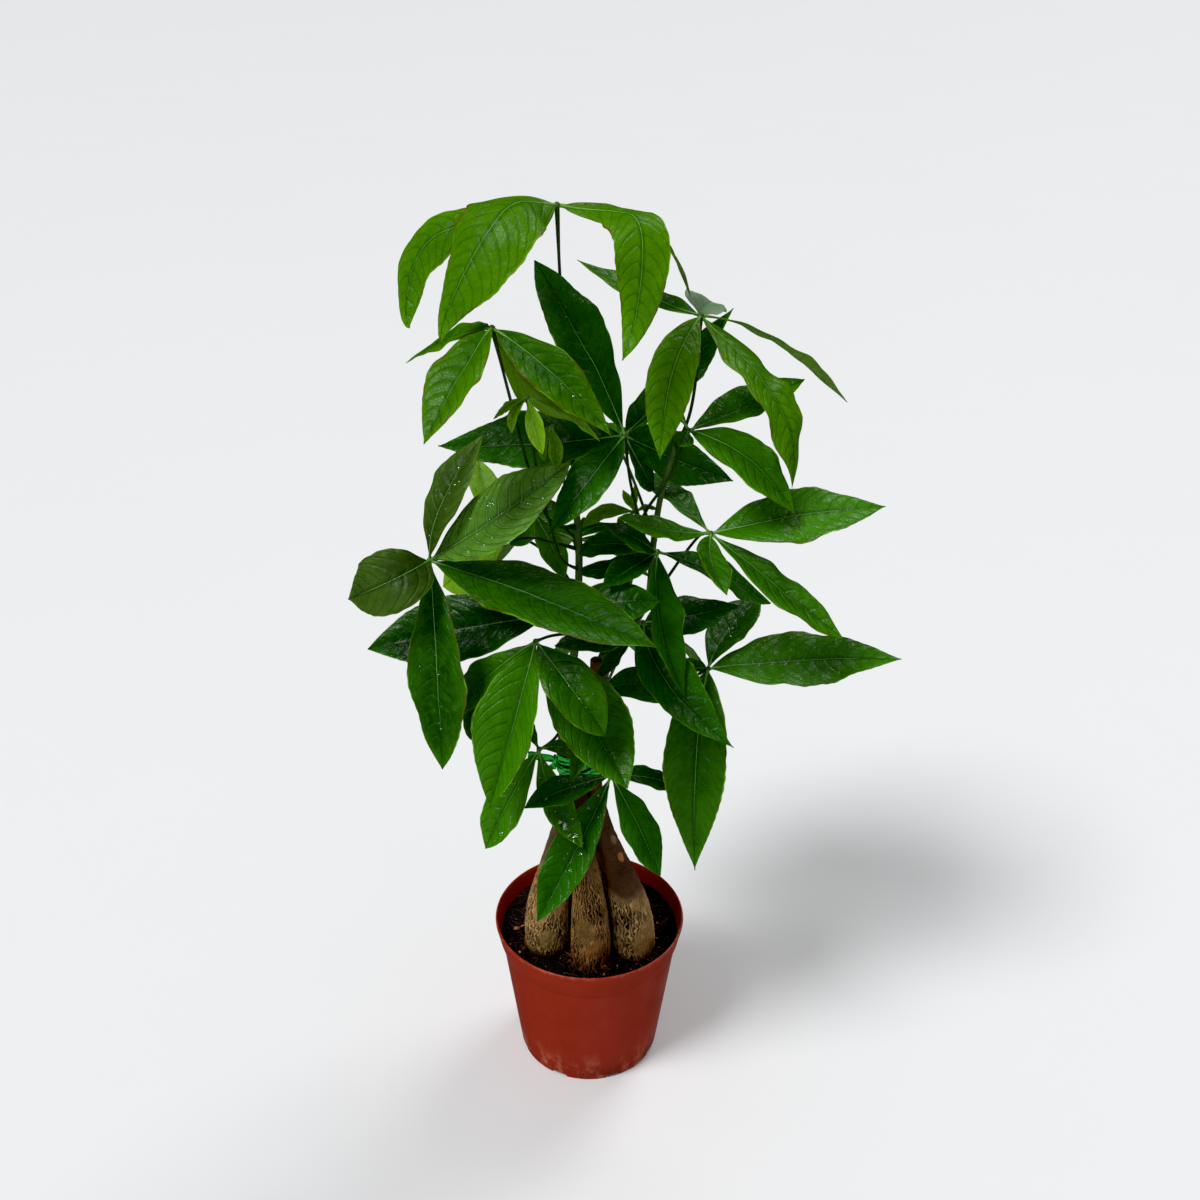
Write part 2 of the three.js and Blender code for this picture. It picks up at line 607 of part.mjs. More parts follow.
// One leaflet: a thin blade folded along its midrib, split alike on both faces
function blade(hub, leaflet) {
  const points = [hub, ...leaflet.rib].map(vector);
  const fold = THREE.MathUtils.degToRad(leaflet.fold ?? 4);
  const stations = leaflet.width < smallBladeWidth ? smallBladeStations : bladeStations;
  const positions = [];
  const begin = bladeStart / points[0].distanceTo(points[points.length - 1]);
  stations.forEach((share, row) => {
    const t = ribAtLength(points, THREE.MathUtils.lerp(begin, 1, share));
    const middle = ribPoint(points, t);
    const along = ribPoint(points, t + 0.001).sub(ribPoint(points, t - 0.001)).normalize();
    const side = new THREE.Vector3().crossVectors(along, vector(leaflet.face)).normalize();
    const up = new THREE.Vector3().crossVectors(side, along);
    const half = halfWidth(share, leaflet.width, leaflet.widest ?? 0.55);
    const wave = half > 6 ? bladeWave * (row % 2 === 0 ? 1 : -1) : 0;
    for (const face of [1, -1]) {
      for (const across of [-1, 0, 1]) {
        const lift = Math.abs(across) * (half * Math.sin(fold) + wave) + (face * bladeThickness) / 2;
        const corner = middle.clone();
        corner.addScaledVector(side, across * half * Math.cos(fold));
        corner.addScaledVector(up, lift);
        positions.push(corner.x, corner.y, corner.z);
      }
    }
  });
  const index = [];
  const quad = (a, b, c, d) => index.push(a, b, c, a, c, d);
  const ring = [0, 1, 2, 5, 4, 3];
  for (let row = 0; row < stations.length - 1; row += 1) {
    const low = row * 6;
    const high = low + 6;
    quad(low, low + 1, high + 1, high);
    quad(low + 1, low + 2, high + 2, high + 1);
    index.push(low + 3, high + 3, high + 4, low + 3, high + 4, low + 4);
    index.push(low + 4, high + 4, high + 5, low + 4, high + 5, low + 5);
    quad(low + 2, low + 5, high + 5, high + 2);
    quad(low + 3, low, high, high + 3);
  }
  const end = (stations.length - 1) * 6;
  for (let i = 1; i < ring.length - 1; i += 1) {
    index.push(ring[0], ring[i + 1], ring[i]);
    index.push(end + ring[0], end + ring[i], end + ring[i + 1]);
  }
  const geometry = new THREE.BufferGeometry();
  geometry.setAttribute('position', new THREE.Float32BufferAttribute(positions, 3));
  geometry.setIndex(index);
  return solidOf(geometry);
}

function leafSolid(leaf, cutters) {
  const knob = new THREE.OctahedronGeometry(hubRadius, 0).translate(...leaf.hub);
  const parts = [solidOf(knob), tube([...leaf.stalk, leaf.hub], stalkRadius, stalkRadius, stalkSides)];
  for (const leaflet of leaf.leaflets) {
    parts.push(blade(leaf.hub, leaflet));
  }
  return largest(cut(fuse(parts), cutters));
}

// The tape round the five necks: two bands that cross into one, with loose ends on the left
function tieSolid() {
  const outline = (radius) => {
    const path = new THREE.Shape();
    for (const turn of [-90, -18, 54, 126, 198]) {
      const middle = THREE.MathUtils.degToRad(turn);
      const x = tieCentre[0] + tieRing * Math.cos(middle);
      const y = tieCentre[1] + tieRing * Math.sin(middle);
      path.absarc(x, y, radius, middle - Math.PI / 5, middle + Math.PI / 5, false);
    }
    path.closePath();
    return path;
  };
  const inner = tieRadius + 1.2;
  const ring = outline(inner + bandThickness);
  ring.holes.push(outline(inner));
  const bands = bandLevels.map((z) => {
    const options = { depth: bandHeight, bevelEnabled: false, curveSegments: 2 };
    return solidOf(new THREE.ExtrudeGeometry(ring, options).translate(0, 0, z));
  });
  const leftSide = tieCentre[0] - tieRing - inner;
  const tieHeight = bandLevels[1] - bandLevels[0] + bandHeight;
  const knot = new THREE.BoxGeometry(knotSize.wide, knotSize.deep, tieHeight - 1);
  knot.translate(leftSide - 1, tieCentre[1] - 4, bandLevels[0] + tieHeight / 2);
  const ends = looseEnds.map(({ length, width, height, tilt }) => {
    const strip = new THREE.BoxGeometry(length, bandThickness, width);
    strip.translate(-length / 2, 0, 0).rotateY(THREE.MathUtils.degToRad(tilt));
    return solidOf(strip.translate(leftSide, tieCentre[1] - 6, height));
  });
  return fuse([...bands, solidOf(knot), ...ends]);
}

const swollenTrunks = Object.values(trunks).map((trunk) => trunkSolid(trunk, gap));
const swollenShoots = Object.values(shoots).map((shoot) => (
  tube(shoot.points, shoot.radius[0] + gap, shoot.radius[1] + gap, shootSides, gap)
));

const plant = new THREE.Group();

function addPiece(name, solid, colour, roughness) {
  const material = new THREE.MeshStandardMaterial({ color: colour, roughness, metalness: 0 });
  const mesh = new THREE.Mesh(geometryOf(solid), material);
  mesh.name = name;
  plant.add(mesh);
}

addPiece('pot', potSolid(), 0x8e2a17, 0.45);
addPiece('soil', soilSolid(swollenTrunks), 0x1c1410, 0.95);
for (const [name, trunk] of Object.entries(trunks)) {
  addPiece(name, trunkSolid(trunk, 0), 0x6b5636, 0.85);
}
for (const [name, shoot] of Object.entries(shoots)) {
  const stem = tube(shoot.points, shoot.radius[0], shoot.radius[1], shootSides);
  addPiece(name, largest(cut(stem, swollenTrunks)), 0x2c4a16, 0.6);
}
addPiece('tie_tape', tieSolid(), 0x0f8a4a, 0.25);
for (const [name, leaf] of Object.entries(leaves)) {
  addPiece(name, leafSolid(leaf, [...swollenTrunks, ...swollenShoots]), leaf.colour, 0.4);
}

export default plant;
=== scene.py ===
import math
import random

import bmesh
import bpy
from mathutils import Matrix, Vector, noise


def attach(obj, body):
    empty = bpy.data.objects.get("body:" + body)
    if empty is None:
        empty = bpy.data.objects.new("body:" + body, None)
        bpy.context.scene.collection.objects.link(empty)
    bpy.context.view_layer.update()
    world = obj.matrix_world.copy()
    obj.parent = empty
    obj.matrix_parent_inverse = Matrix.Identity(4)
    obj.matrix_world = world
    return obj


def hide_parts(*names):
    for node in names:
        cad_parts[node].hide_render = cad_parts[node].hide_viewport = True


# A potted money tree: five trunks tied at the neck, three leafy shoots, soil and a nursery pot.
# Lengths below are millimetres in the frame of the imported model; mm turns them into metres.
# A colour of three numbers is red, green and blue from 0 to 255; one of four is linear, from 0 to 1.
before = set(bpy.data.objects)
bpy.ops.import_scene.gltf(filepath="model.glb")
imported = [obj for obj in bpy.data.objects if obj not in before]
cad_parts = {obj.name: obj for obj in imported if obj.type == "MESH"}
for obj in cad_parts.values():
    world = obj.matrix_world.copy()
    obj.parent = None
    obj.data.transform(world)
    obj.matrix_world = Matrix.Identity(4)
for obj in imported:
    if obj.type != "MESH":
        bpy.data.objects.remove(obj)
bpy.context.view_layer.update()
scene = bpy.context.scene
mm = 0.001
same = 1e-6  # metres; points nearer than this are one point


# numbers and colours
def paint(colour):
    parts = []
    for part in colour:
        part /= 255
        parts.append(part / 12.92 if part <= 0.04045 else ((part + 0.055) / 1.055) ** 2.4)
    return (*parts, 1.0)


def shadeOf(colour, share):
    return [min(part * share, 1) for part in paint(colour)[:3]] + [1]


def lerp(low, high, share):
    return low + (high - low) * share


def easeStep(value, low, high):
    share = min(max((value - low) / (high - low), 0.0), 1.0)
    return share * share * (3 - 2 * share)


def between(table, key):
    if key <= table[0][0]:
        return table[0][1]
    for low, high in zip(table, table[1:]):
        if key <= high[0]:
            return lerp(low[1], high[1], (key - low[0]) / (high[0] - low[0]))
    return table[-1][1]


# meshes
def newParts(result, kind):
    return [item for item in result["geom"] if isinstance(item, kind)]


def facesAt(verts):
    return {face for vert in verts for face in vert.link_faces}


def finishPiece(name, bm, materials, stands=()):
    for face in bm.faces:
        face.smooth = True
    mesh = bpy.data.meshes.new(name)
    bm.to_mesh(mesh)
    bm.free()
    for material in materials:
        mesh.materials.append(material)
    piece = bpy.data.objects.new(name, mesh)
    scene.collection.objects.link(piece)
    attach(piece, "root")
    if stands:
        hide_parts(*stands)
    return piece


def turnProfile(points, steps):
    # the outline (radius, height) turned once round the pot's axis
    bm = bmesh.new()
    profile = [bm.verts.new((radius * mm, 0, z * mm)) for radius, z in points]
    edges = [bm.edges.new(pair) for pair in zip(profile, profile[1:])]
    bmesh.ops.spin(bm, geom=profile + edges, cent=(0, 0, 0), axis=(0, 0, 1), angle=math.tau,
                   steps=steps, use_merge=True)
    bmesh.ops.remove_doubles(bm, verts=bm.verts, dist=same)
    return bm


def shapeGrid(bm, cells, shape):
    # a grid whose points go where shape(x, y) says, in millimetres, for x and y from -1 to 1
    made = bmesh.ops.create_grid(bm, x_segments=cells[0], y_segments=cells[1], size=1)["verts"]
    for vert in made:
        vert.co = Vector(shape(vert.co.x, vert.co.y)) * mm
    return made


def smoothPath(points, steps):
    # a smooth line through the points, in metres, with steps places between each two
    points = [Vector(p) * mm for p in points]
    whole = [2 * points[0] - points[1], *points, 2 * points[-1] - points[-2]]
    places = []
    for p0, p1, p2, p3 in zip(whole, whole[1:], whole[2:], whole[3:]):
        t1 = math.sqrt((p1 - p0).length)
        t2 = t1 + math.sqrt((p2 - p1).length)
        t3 = t2 + math.sqrt((p3 - p2).length)
        for step in range(steps):
            t = lerp(t1, t2, step / steps)
            a = p0.lerp(p1, t / t1)
            b = p1.lerp(p2, (t - t1) / (t2 - t1))
            c = p2.lerp(p3, (t - t2) / (t3 - t2))
            d = a.lerp(b, t / t2)
            e = b.lerp(c, (t - t1) / (t3 - t1))
            places.append(d.lerp(e, (t - t1) / (t2 - t1)))
    places.append(points[-1])
    return places


def pathFrames(places):
    # a frame at each place whose own Z runs along the path, turned as little as possible
    frames = []
    side = None
    for i, place in enumerate(places):
        along = (places[min(i + 1, len(places) - 1)] - places[max(i - 1, 0)]).normalized()
        if side is None:
            side = along.orthogonal().normalized()
        side = (side - along * side.dot(along)).normalized()
        turn = Matrix((side, along.cross(side), along)).transposed().to_4x4()
        frames.append(Matrix.Translation(place) @ turn)
    return frames


def addTube(bm, places, radii, sides, material=0):
    # a round tube along the places (metres) with one radius for each, closed at both ends
    frames = pathFrames(places)
    ring = bmesh.ops.create_circle(bm, cap_ends=True, radius=radii[0], segments=sides, matrix=frames[0])["verts"]
    edges = list({edge for vert in ring for edge in vert.link_edges})
    faces = list(facesAt(ring))
    for i in range(1, len(places)):
        result = bmesh.ops.extrude_edge_only(bm, edges=edges)
        ring = newParts(result, bmesh.types.BMVert)
        known = set(ring)
        edges = [edge for edge in newParts(result, bmesh.types.BMEdge) if all(v in known for v in edge.verts)]
        faces += newParts(result, bmesh.types.BMFace)
        change = frames[i] @ Matrix.Scale(radii[i] / radii[i - 1], 4) @ frames[i - 1].inverted()
        bmesh.ops.transform(bm, matrix=change, verts=ring)
    faces += bmesh.ops.holes_fill(bm, edges=edges, sides=0)["faces"]
    for face in faces:
        face.material_index = material
    bmesh.ops.recalc_face_normals(bm, faces=faces)


# materials
def connect(tree, value, socket):
    if isinstance(value, Value):
        value = value.socket
    if isinstance(value, bpy.types.NodeSocket):
        tree.links.new(value, socket)
    elif socket.type == "RGBA" and len(value) == 3:
        socket.default_value = paint(value)
    else:
        socket.default_value = value


def put(tree, kind, inputs=None, **settings):
    node = tree.nodes.new(kind)
    for key, value in settings.items():
        setattr(node, key, value)
    for key, value in (inputs or {}).items():
        connect(tree, value, node.inputs[key])
    return node


class Value:
    # a number inside a material, which adds up and multiplies as plain numbers do
    def __init__(self, tree, socket):
        self.tree, self.socket = tree, socket

    def calc(self, operation, *others, clamp=False):
        values = dict(enumerate((self, *others)))
        node = put(self.tree, "ShaderNodeMath", values, operation=operation, use_clamp=clamp)
        return Value(self.tree, node.outputs[0])

    def __add__(self, other):
        return self.calc("ADD", other)

    def __sub__(self, other):
        return self.calc("SUBTRACT", other)

    def __mul__(self, other):
        return self.calc("MULTIPLY", other)

    def __rsub__(self, other):
        return self.calc("MULTIPLY_ADD", -1.0, other)

    def clamped(self):
        return self.calc("ADD", 0.0, clamp=True)

    def ease(self, low, high):
        values = {"Value": self, "From Min": low, "From Max": high}
        node = put(self.tree, "ShaderNodeMapRange", values, interpolation_type="SMOOTHSTEP")
        return Value(self.tree, node.outputs["Result"])


class Sheet:
    # the nodes of a material or a group, with the coordinates that its patterns read
    def __init__(self, tree, coords):
        self.tree, self.coords = tree, coords

    def at(self, size):
        if size is None:
            return self.coords
        return put(self.tree, "ShaderNodeMapping", {"Vector": self.coords, "Scale": size}).outputs["Vector"]

    def grain(self, scale, detail=2.0, rough=0.5, size=None):
        values = {"Vector": self.at(size), "Scale": scale, "Detail": detail, "Roughness": rough}
        return Value(self.tree, put(self.tree, "ShaderNodeTexNoise", values).outputs["Fac"])

    def cells(self, scale, feature="DISTANCE_TO_EDGE"):
        values = {"Vector": self.coords, "Scale": scale}
        return Value(self.tree, put(self.tree, "ShaderNodeTexVoronoi", values, feature=feature).outputs["Distance"])

    def attribute(self, name):
        node = put(self.tree, "ShaderNodeAttribute", attribute_name=name, attribute_type="GEOMETRY")
        return Value(self.tree, node.outputs["Fac"])

    def axes(self):
        outputs = put(self.tree, "ShaderNodeSeparateXYZ", {0: self.coords}).outputs
        return [Value(self.tree, output) for output in outputs]

    def group(self, nodes, size=None, **values):
        node = put(self.tree, "ShaderNodeGroup", {"Coords": self.at(size), **values}, node_tree=nodes)
        return {output.name: Value(self.tree, output) for output in node.outputs}

    def mottle(self, scale, strength=2.0, size=None):
        return self.group(mottleGroup, size, Scale=scale, Strength=strength)["Value"]

    def mix(self, share, low, high):
        return put(self.tree, "ShaderNodeMix", {0: share, 6: low, 7: high}, data_type="RGBA").outputs[2]

    def tones(self, share, colour, dark, light):
        return self.mix(share, shadeOf(colour, dark), shadeOf(colour, light))

    def over(self, colour, *layers):
        # the colour under layers, each given as its share and its colour
        for share, layer in layers:
            colour = self.mix(share, colour, layer)
        return colour


class Skin(Sheet):
    # one material, whose patterns read the piece's own coordinates
    def __init__(self, name, **shaderValues):
        self.material = bpy.data.materials.new(name)
        self.material.use_nodes = True
        tree = self.material.node_tree
        tree.nodes.clear()
        super().__init__(tree, put(tree, "ShaderNodeTexCoord").outputs["Object"])
        self.shader = put(tree, "ShaderNodeBsdfPrincipled")
        tree.links.new(self.shader.outputs["BSDF"], put(tree, "ShaderNodeOutputMaterial").inputs["Surface"])
        for key, value in shaderValues.items():
            self.shader.inputs[key.replace("_", " ")].default_value = value

    def finish(self, colour, rough=None, height=None, distance=0.001, strength=1.0):
        connect(self.tree, colour, self.shader.inputs["Base Color"])
        if rough is not None:
            connect(self.tree, rough, self.shader.inputs["Roughness"])
        if height is not None:
            values = {"Height": height, "Distance": distance, "Strength": strength}
            normal = put(self.tree, "ShaderNodeBump", values).outputs["Normal"]
            self.tree.links.new(normal, self.shader.inputs["Normal"])
        return self.material


def makeGroup(name, numbers, labels, results):
    # a node group that turns coordinates and numbers into labelled values
    group = bpy.data.node_groups.new(name, "ShaderNodeTree")
    sockets = [("Coords", "INPUT", "Vector"), *[(label, "INPUT", "Float") for label in numbers],
               *[(label, "OUTPUT", "Float") for label in labels]]
    for label, way, kind in sockets:
        group.interface.new_socket(label, in_out=way, socket_type=f"NodeSocket{kind}")
    given = put(group, "NodeGroupInput").outputs
    made = results(Sheet(group, given["Coords"]), *[Value(group, given[label]) for label in numbers])
    put(group, "NodeGroupOutput", dict(zip(labels, made)))
    return group


def mottleNodes(sheet, scale, strength):
    # broad and fine colour variation, 0 to 1 around the middle
    mixed = sheet.grain(scale, 3.0, 0.6) * 0.68 + sheet.grain(scale * 7.0, 2.0, 0.6) * 0.32
    return [((mixed - 0.5) * strength + 0.5).clamped()]


mottleGroup = makeGroup("mottle", ("Scale", "Strength"), ("Value",), mottleNodes)


# camera, floor and light
view = dict(lens=39, sensor=36, far=200, place=(0.0071, -0.923, 0.929), down=26.97, roll=0.49)
studio = dict(
    worldColour=(1.0, 1.0, 1.0), worldStrength=0.28, floorSize=45,
    floorColour=(0.88, 0.89, 0.905), floorShades=(0.985, 1.015),
    lamps=[  # the way the light comes from, how wide it is in degrees, strength, colour
        ((-0.55, -0.42, 1.0), 20, 1.95, (1.0, 1.0, 1.0)),
        ((0.5, 0.62, 1.0), 24, 0.85, (1.0, 1.0, 1.0)),
    ],
    blackLevel=0.0035,  # deepens the darks
)


def makeCamera():
    camera = bpy.data.objects.new("camera", bpy.data.cameras.new("camera"))
    camera.data.lens = view["lens"]
    camera.data.sensor_width = view["sensor"]
    camera.data.clip_end = view["far"]
    camera.matrix_world = (Matrix.Translation(view["place"])
                           @ Matrix.Rotation(math.radians(90 - view["down"]), 4, "X")
                           @ Matrix.Rotation(math.radians(view["roll"]), 4, "Z"))
    scene.collection.objects.link(camera)
    scene.camera = camera


def makeStudio():
    world = bpy.data.worlds.new("studio")
    world.use_nodes = True
    sky = world.node_tree.nodes["Background"]
    sky.inputs["Color"].default_value = (*studio["worldColour"], 1)
    sky.inputs["Strength"].default_value = studio["worldStrength"]
    scene.world = world
    world.cycles_visibility.glossy = False
    for number, (way, width, strength, colour) in enumerate(studio["lamps"]):
        lamp = bpy.data.lights.new(f"softLight{number}", "SUN")
        lamp.angle = math.radians(width)
        lamp.energy = strength
        lamp.color = colour
        holder = bpy.data.objects.new(f"softLight{number}", lamp)
        holder.matrix_world = Vector(way).to_track_quat("Z", "Y").to_matrix().to_4x4()
        scene.collection.objects.link(holder)
    skin = Skin("paleFloor", Roughness=0.7)
    shades = [(*[part * shade for part in studio["floorColour"]], 1) for shade in studio["floorShades"]]
    bm = bmesh.new()
    bmesh.ops.create_grid(bm, x_segments=1, y_segments=1, size=studio["floorSize"])
    mesh = bpy.data.meshes.new("floor")
    bm.to_mesh(mesh)
    bm.free()
    mesh.materials.append(skin.finish(skin.mix(skin.mottle(1.2, 1.0), *shades)))
    floor = bpy.data.objects.new("floor", mesh)
    floor.visible_glossy = False  # keeps the white floor's shine off the leaves
    scene.collection.objects.link(floor)
    scene.view_settings.view_transform = "Standard"
    scene.view_settings.look = "None"
    scene.view_settings.use_curve_mapping = True
    scene.view_settings.curve_mapping.black_level = [studio["blackLevel"]] * 3
    scene.view_settings.curve_mapping.update()


makeCamera()
makeStudio()
print("stage 1 of 8: camera, floor and light")


# pot
potPlan = dict(
    height=141, rim=85, base=63.5, ledge=115, wallTop=78.4, bandBottom=79.6,
    sides=160, notches=8, notchWidth=15, notchDepth=10, notchHeight=3.6, firstNotch=-115, sharp=38,
    wallSlope=0.225, wallFoot=52.5,  # the middle of the wall: its radius is wallFoot + wallSlope * height
)


def makePotPlastic():
    skin = Skin("terracottaPlastic", Roughness=0.4, Specular_IOR_Level=0.25, Sheen_Weight=0.1, Sheen_Roughness=0.22)
    x, y, z = skin.axes()
    flat = put(skin.tree, "ShaderNodeCombineXYZ", {0: x, 1: y}).outputs[0]
    reach = Value(skin.tree, put(skin.tree, "ShaderNodeVectorMath", {0: flat}, operation="LENGTH").outputs["Value"])
    inside = (reach - (z * potPlan["wallSlope"] + potPlan["wallFoot"] * mm)).ease(0.0004, -0.0004)
    scuffs = skin.grain(70.0, 6.0, 0.74, (1, 1, 0.45)).ease(0.48, 0.6) * z.ease(0.042, 0.004)
    grime = skin.grain(45.0, 4.0, 0.65).ease(0.42, 0.62) * z.ease(0.03, 0.0)
    # a paler band on the +X side: painted sheen
    paintedSheen = x.ease(0.038, 0.085) * skin.grain(22.0, 3.0, 0.6).ease(0.3, 0.7)
    dust = skin.grain(420.0, 3.0, 0.6).ease(0.68, 0.76)
    rubbed = z.ease(0.1365, 0.1402) * skin.grain(180.0, 4.0, 0.7).ease(0.45, 0.6)
    soilMarks = skin.grain(150.0, 4.0, 0.7).ease(0.52, 0.62) * z.ease(0.130, 0.124)
    colour = skin.over(
        skin.mix(skin.mottle(14.0, 1.6), (144, 36, 14), (170, 50, 24)),
        (scuffs * 0.7, (204, 112, 78)), (grime * 0.45, (86, 24, 14)), (paintedSheen * 0.7, (178, 112, 98)),
        (dust * 0.28, (196, 110, 80)), (rubbed * 0.35, (203, 98, 66)), (inside * soilMarks, (38, 24, 18)))
    rough = skin.mottle(60.0, 1.4) * 0.2 + (scuffs * 0.25 + 0.26)
    height = skin.grain(900.0, 2.0, 0.5) + skin.grain(60.0, 2.0, 0.5, (1, 1, 18)) * 0.8
    return skin.finish(colour, rough, height, 0.00012, 0.5)


def makePot():
    height, rim, base, ledge = [potPlan[key] for key in ("height", "rim", "base", "ledge")]
    wall, band = potPlan["wallTop"], potPlan["bandBottom"]
    outside = [
        (0, 0), (base - 1.2, 0), (base - 0.35, 0.35), (base, 1.2), (base + 1.9, 15), (67.9, 34), (71.3, 60),
        (74.6, 85), (77.2, 105), (wall - 0.15, ledge - 2.2), (wall + 0.05, ledge - 1.1), (band - 0.5, ledge - 0.2),
        (band - 0.25, ledge + 0.7), (81.5, 123), (83.4, 132), (rim - 0.45, height - 3.4), (rim - 0.06, height - 2.4),
        (rim, height - 1.5), (rim - 0.2, height - 0.6), (rim - 0.7, height - 0.1), (rim - 1.2, height),
    ]
    inside = [
        (83.35, 140.6), (83.1, 139.6), (82.4, 137.6), (81.0, 131), (79.2, 123.5), (77.75, 117.4), (77.3, 116.2),
        (76.5, 115.0), (76.3, 113), (74.9, 100), (70.0, 60), (62.6, 5), (61.6, 2.6), (60.5, 2), (0, 2),
    ]
    bm = turnProfile(outside + inside, potPlan["sides"])
    bmesh.ops.recalc_face_normals(bm, faces=bm.faces)
    cutter = bmesh.new()
    for number in range(potPlan["notches"]):
        turn = math.radians(potPlan["firstNotch"] + number * 360 / potPlan["notches"])
        size = [potPlan[key] * mm for key in ("notchDepth", "notchWidth", "notchHeight")]
        made = bmesh.ops.create_cube(cutter, size=1, matrix=(
            Matrix.Rotation(turn, 4, "Z") @ Matrix.Translation((base * mm, 0, 0))
            @ Matrix.Diagonal((size[0], size[1], 2 * size[2], 1))))["verts"]
        level = {edge for vert in made for edge in vert.link_edges
                 if abs(edge.verts[0].co.z - edge.verts[1].co.z) < same and edge.verts[0].co.z > 0}
        bmesh.ops.bevel(cutter, geom=list(level), offset=0.8 * mm, segments=2, profile=0.5,
                        affect="EDGES", material=-1)
    shapes = []
    for name, form in (("potTurned", bm), ("notchTool", cutter)):
        mesh = bpy.data.meshes.new(name)
        form.to_mesh(mesh)
        form.free()
        shapes.append(bpy.data.objects.new(name, mesh))
        scene.collection.objects.link(shapes[-1])
    turned, tool = shapes
    bite = turned.modifiers.new("notches", "BOOLEAN")
    bite.object = tool
    bite.operation = "DIFFERENCE"
    bite.solver = "EXACT"
    bpy.context.view_layer.update()
    whole = bmesh.new()
    whole.from_mesh(turned.evaluated_get(bpy.context.evaluated_depsgraph_get()).to_mesh())
    for shape in shapes:
        bpy.data.objects.remove(shape)
    for edge in whole.edges:
        if len(edge.link_faces) == 2 and edge.calc_face_angle(0) > math.radians(potPlan["sharp"]):
            edge.smooth = False
    finishPiece("pot_turned", whole, [makePotPlastic()], ["pot"])


makePot()
print("stage 2 of 8: pot")


# trunks
tiePlan = dict(centre=(-8, -12), ring=12, low=303, high=329, inner=7.9, bandHeight=7, bands=(308, 318))
trunkPlan = dict(bend=150, strands=33, sides=252, fineStep=0.7, coarseStep=2.2, fineFrom=119, fineTo=250,
                 firstLevels=(62, 80, 98, 112), groove=0.8, largePatch=4)
trunkSwell = [
    (62, 0.45), (85, 0.75), (110, 0.93), (130, 1), (150, 1), (175, 0.93), (200, 0.76),
    (225, 0.57), (250, 0.43), (280, 0.36), (313, 0.34), (345, 0.32), (375, 0.3), (420, 0.27),
]
# strands: where the cracked bark fades in and out; ridge, gap, foot and head are the four main colours;
# patches: bare or scarred places, each with its turn, height, size in mm and colour
trunks = {
    "trunk_left": dict(
        base=(-38, -23), radius=19.6, turn=198, top=(-24, -14, 380), strands=(118, 132, 196, 222),
        ridge=(170, 136, 84), gap=(50, 34, 18), foot=(106, 94, 32), head=(104, 84, 62),
        patches=[(-56, 180, 9, (168, 110, 60)), (-112, 172, 9, (134, 112, 76)), (-84, 146, 9, (104, 96, 34))]),
    "trunk_middle": dict(
        base=(1.5, -39), radius=17.2, turn=-90, top=(-10, -26, 390), strands=(118, 134, 206, 246),
        ridge=(156, 116, 66), gap=(30, 20, 12), foot=(128, 70, 30), head=(50, 38, 30),
        patches=[(-108, 163, 12, (72, 68, 26)), (-72, 146, 9, (150, 88, 42)), (-104, 142, 6, (158, 100, 52))]),
    "trunk_right": dict(
        base=(39.7, -28.5), radius=18.7, turn=-18, top=(5, -8, 410), strands=(118, 132, 181, 197),
        ridge=(184, 148, 94), gap=(38, 25, 14), foot=(134, 102, 34), head=(84, 54, 32),
        patches=[(-46, 227, 3.6, (206, 132, 74)), (-66, 144, 11, (142, 104, 38)), (-36, 154, 13, (126, 88, 36)),
                 (-46, 243, 3.4, (150, 118, 84)), (-14, 178, 12, (128, 92, 52)), (-62, 184, 5, (172, 132, 80))]),
    "trunk_back_right": dict(
        base=(24, 18), radius=17, turn=54, top=(12, 6, 400), strands=(126, 148, 186, 216),
        ridge=(166, 134, 86), gap=(50, 36, 22), foot=(112, 90, 38), head=(84, 66, 50),
        patches=[(60, 176, 8, (160, 112, 66))]),
    "trunk_back_left": dict(
        base=(-24, 20), radius=17, turn=126, top=(-16, 8, 395), strands=(126, 148, 190, 222),
        ridge=(166, 134, 86), gap=(50, 36, 22), foot=(112, 90, 38), head=(84, 66, 50),
        patches=[(140, 160, 7, (164, 110, 58))]),
}


def trunkMiddle(trunk, z):
    turn = math.radians(trunk["turn"])
    aside = tiePlan["ring"] * math.cos(turn), tiePlan["ring"] * math.sin(turn)
    neck = [tiePlan["centre"][axis] + aside[axis] for axis in (0, 1)]
    lean = easeStep(z, trunkPlan["bend"] - 10, tiePlan["low"])
    spread = min(max((z - tiePlan["high"]) / (trunk["top"][2] - tiePlan["high"]), 0), 1)
    return [lerp(lerp(trunk["base"][axis], neck[axis], lean), trunk["top"][axis], spread) for axis in (0, 1)]


def barkStrand(turn, z, place, seed):
    # 1 on a light strand of bark, 0 in the tall dark gap between strands: two sets of wandering lines that cross
    sweep = noise.noise(Vector((1.6 * math.cos(turn) + seed, 1.6 * math.sin(turn), z * 0.03)))
    jitter = noise.noise(place * 0.24 + Vector((0, 0, seed))) * 0.75 + noise.noise(place * 0.7) * 0.16
    nearest = 1.0
    for lean, own in ((1, 0.0), (-1, 40.0)):
        line = turn / math.tau * trunkPlan["strands"] + lean * (z / 15 + 0.6 * sweep) + jitter
        number = math.floor(line + 0.5)
        thin = 0.13 * noise.noise(Vector((number * 7.7 + own, seed, z * 0.11)))
        nearest = min(nearest, abs(line - number) + thin)
    return 1 - easeStep(nearest, 0.03, 0.15)


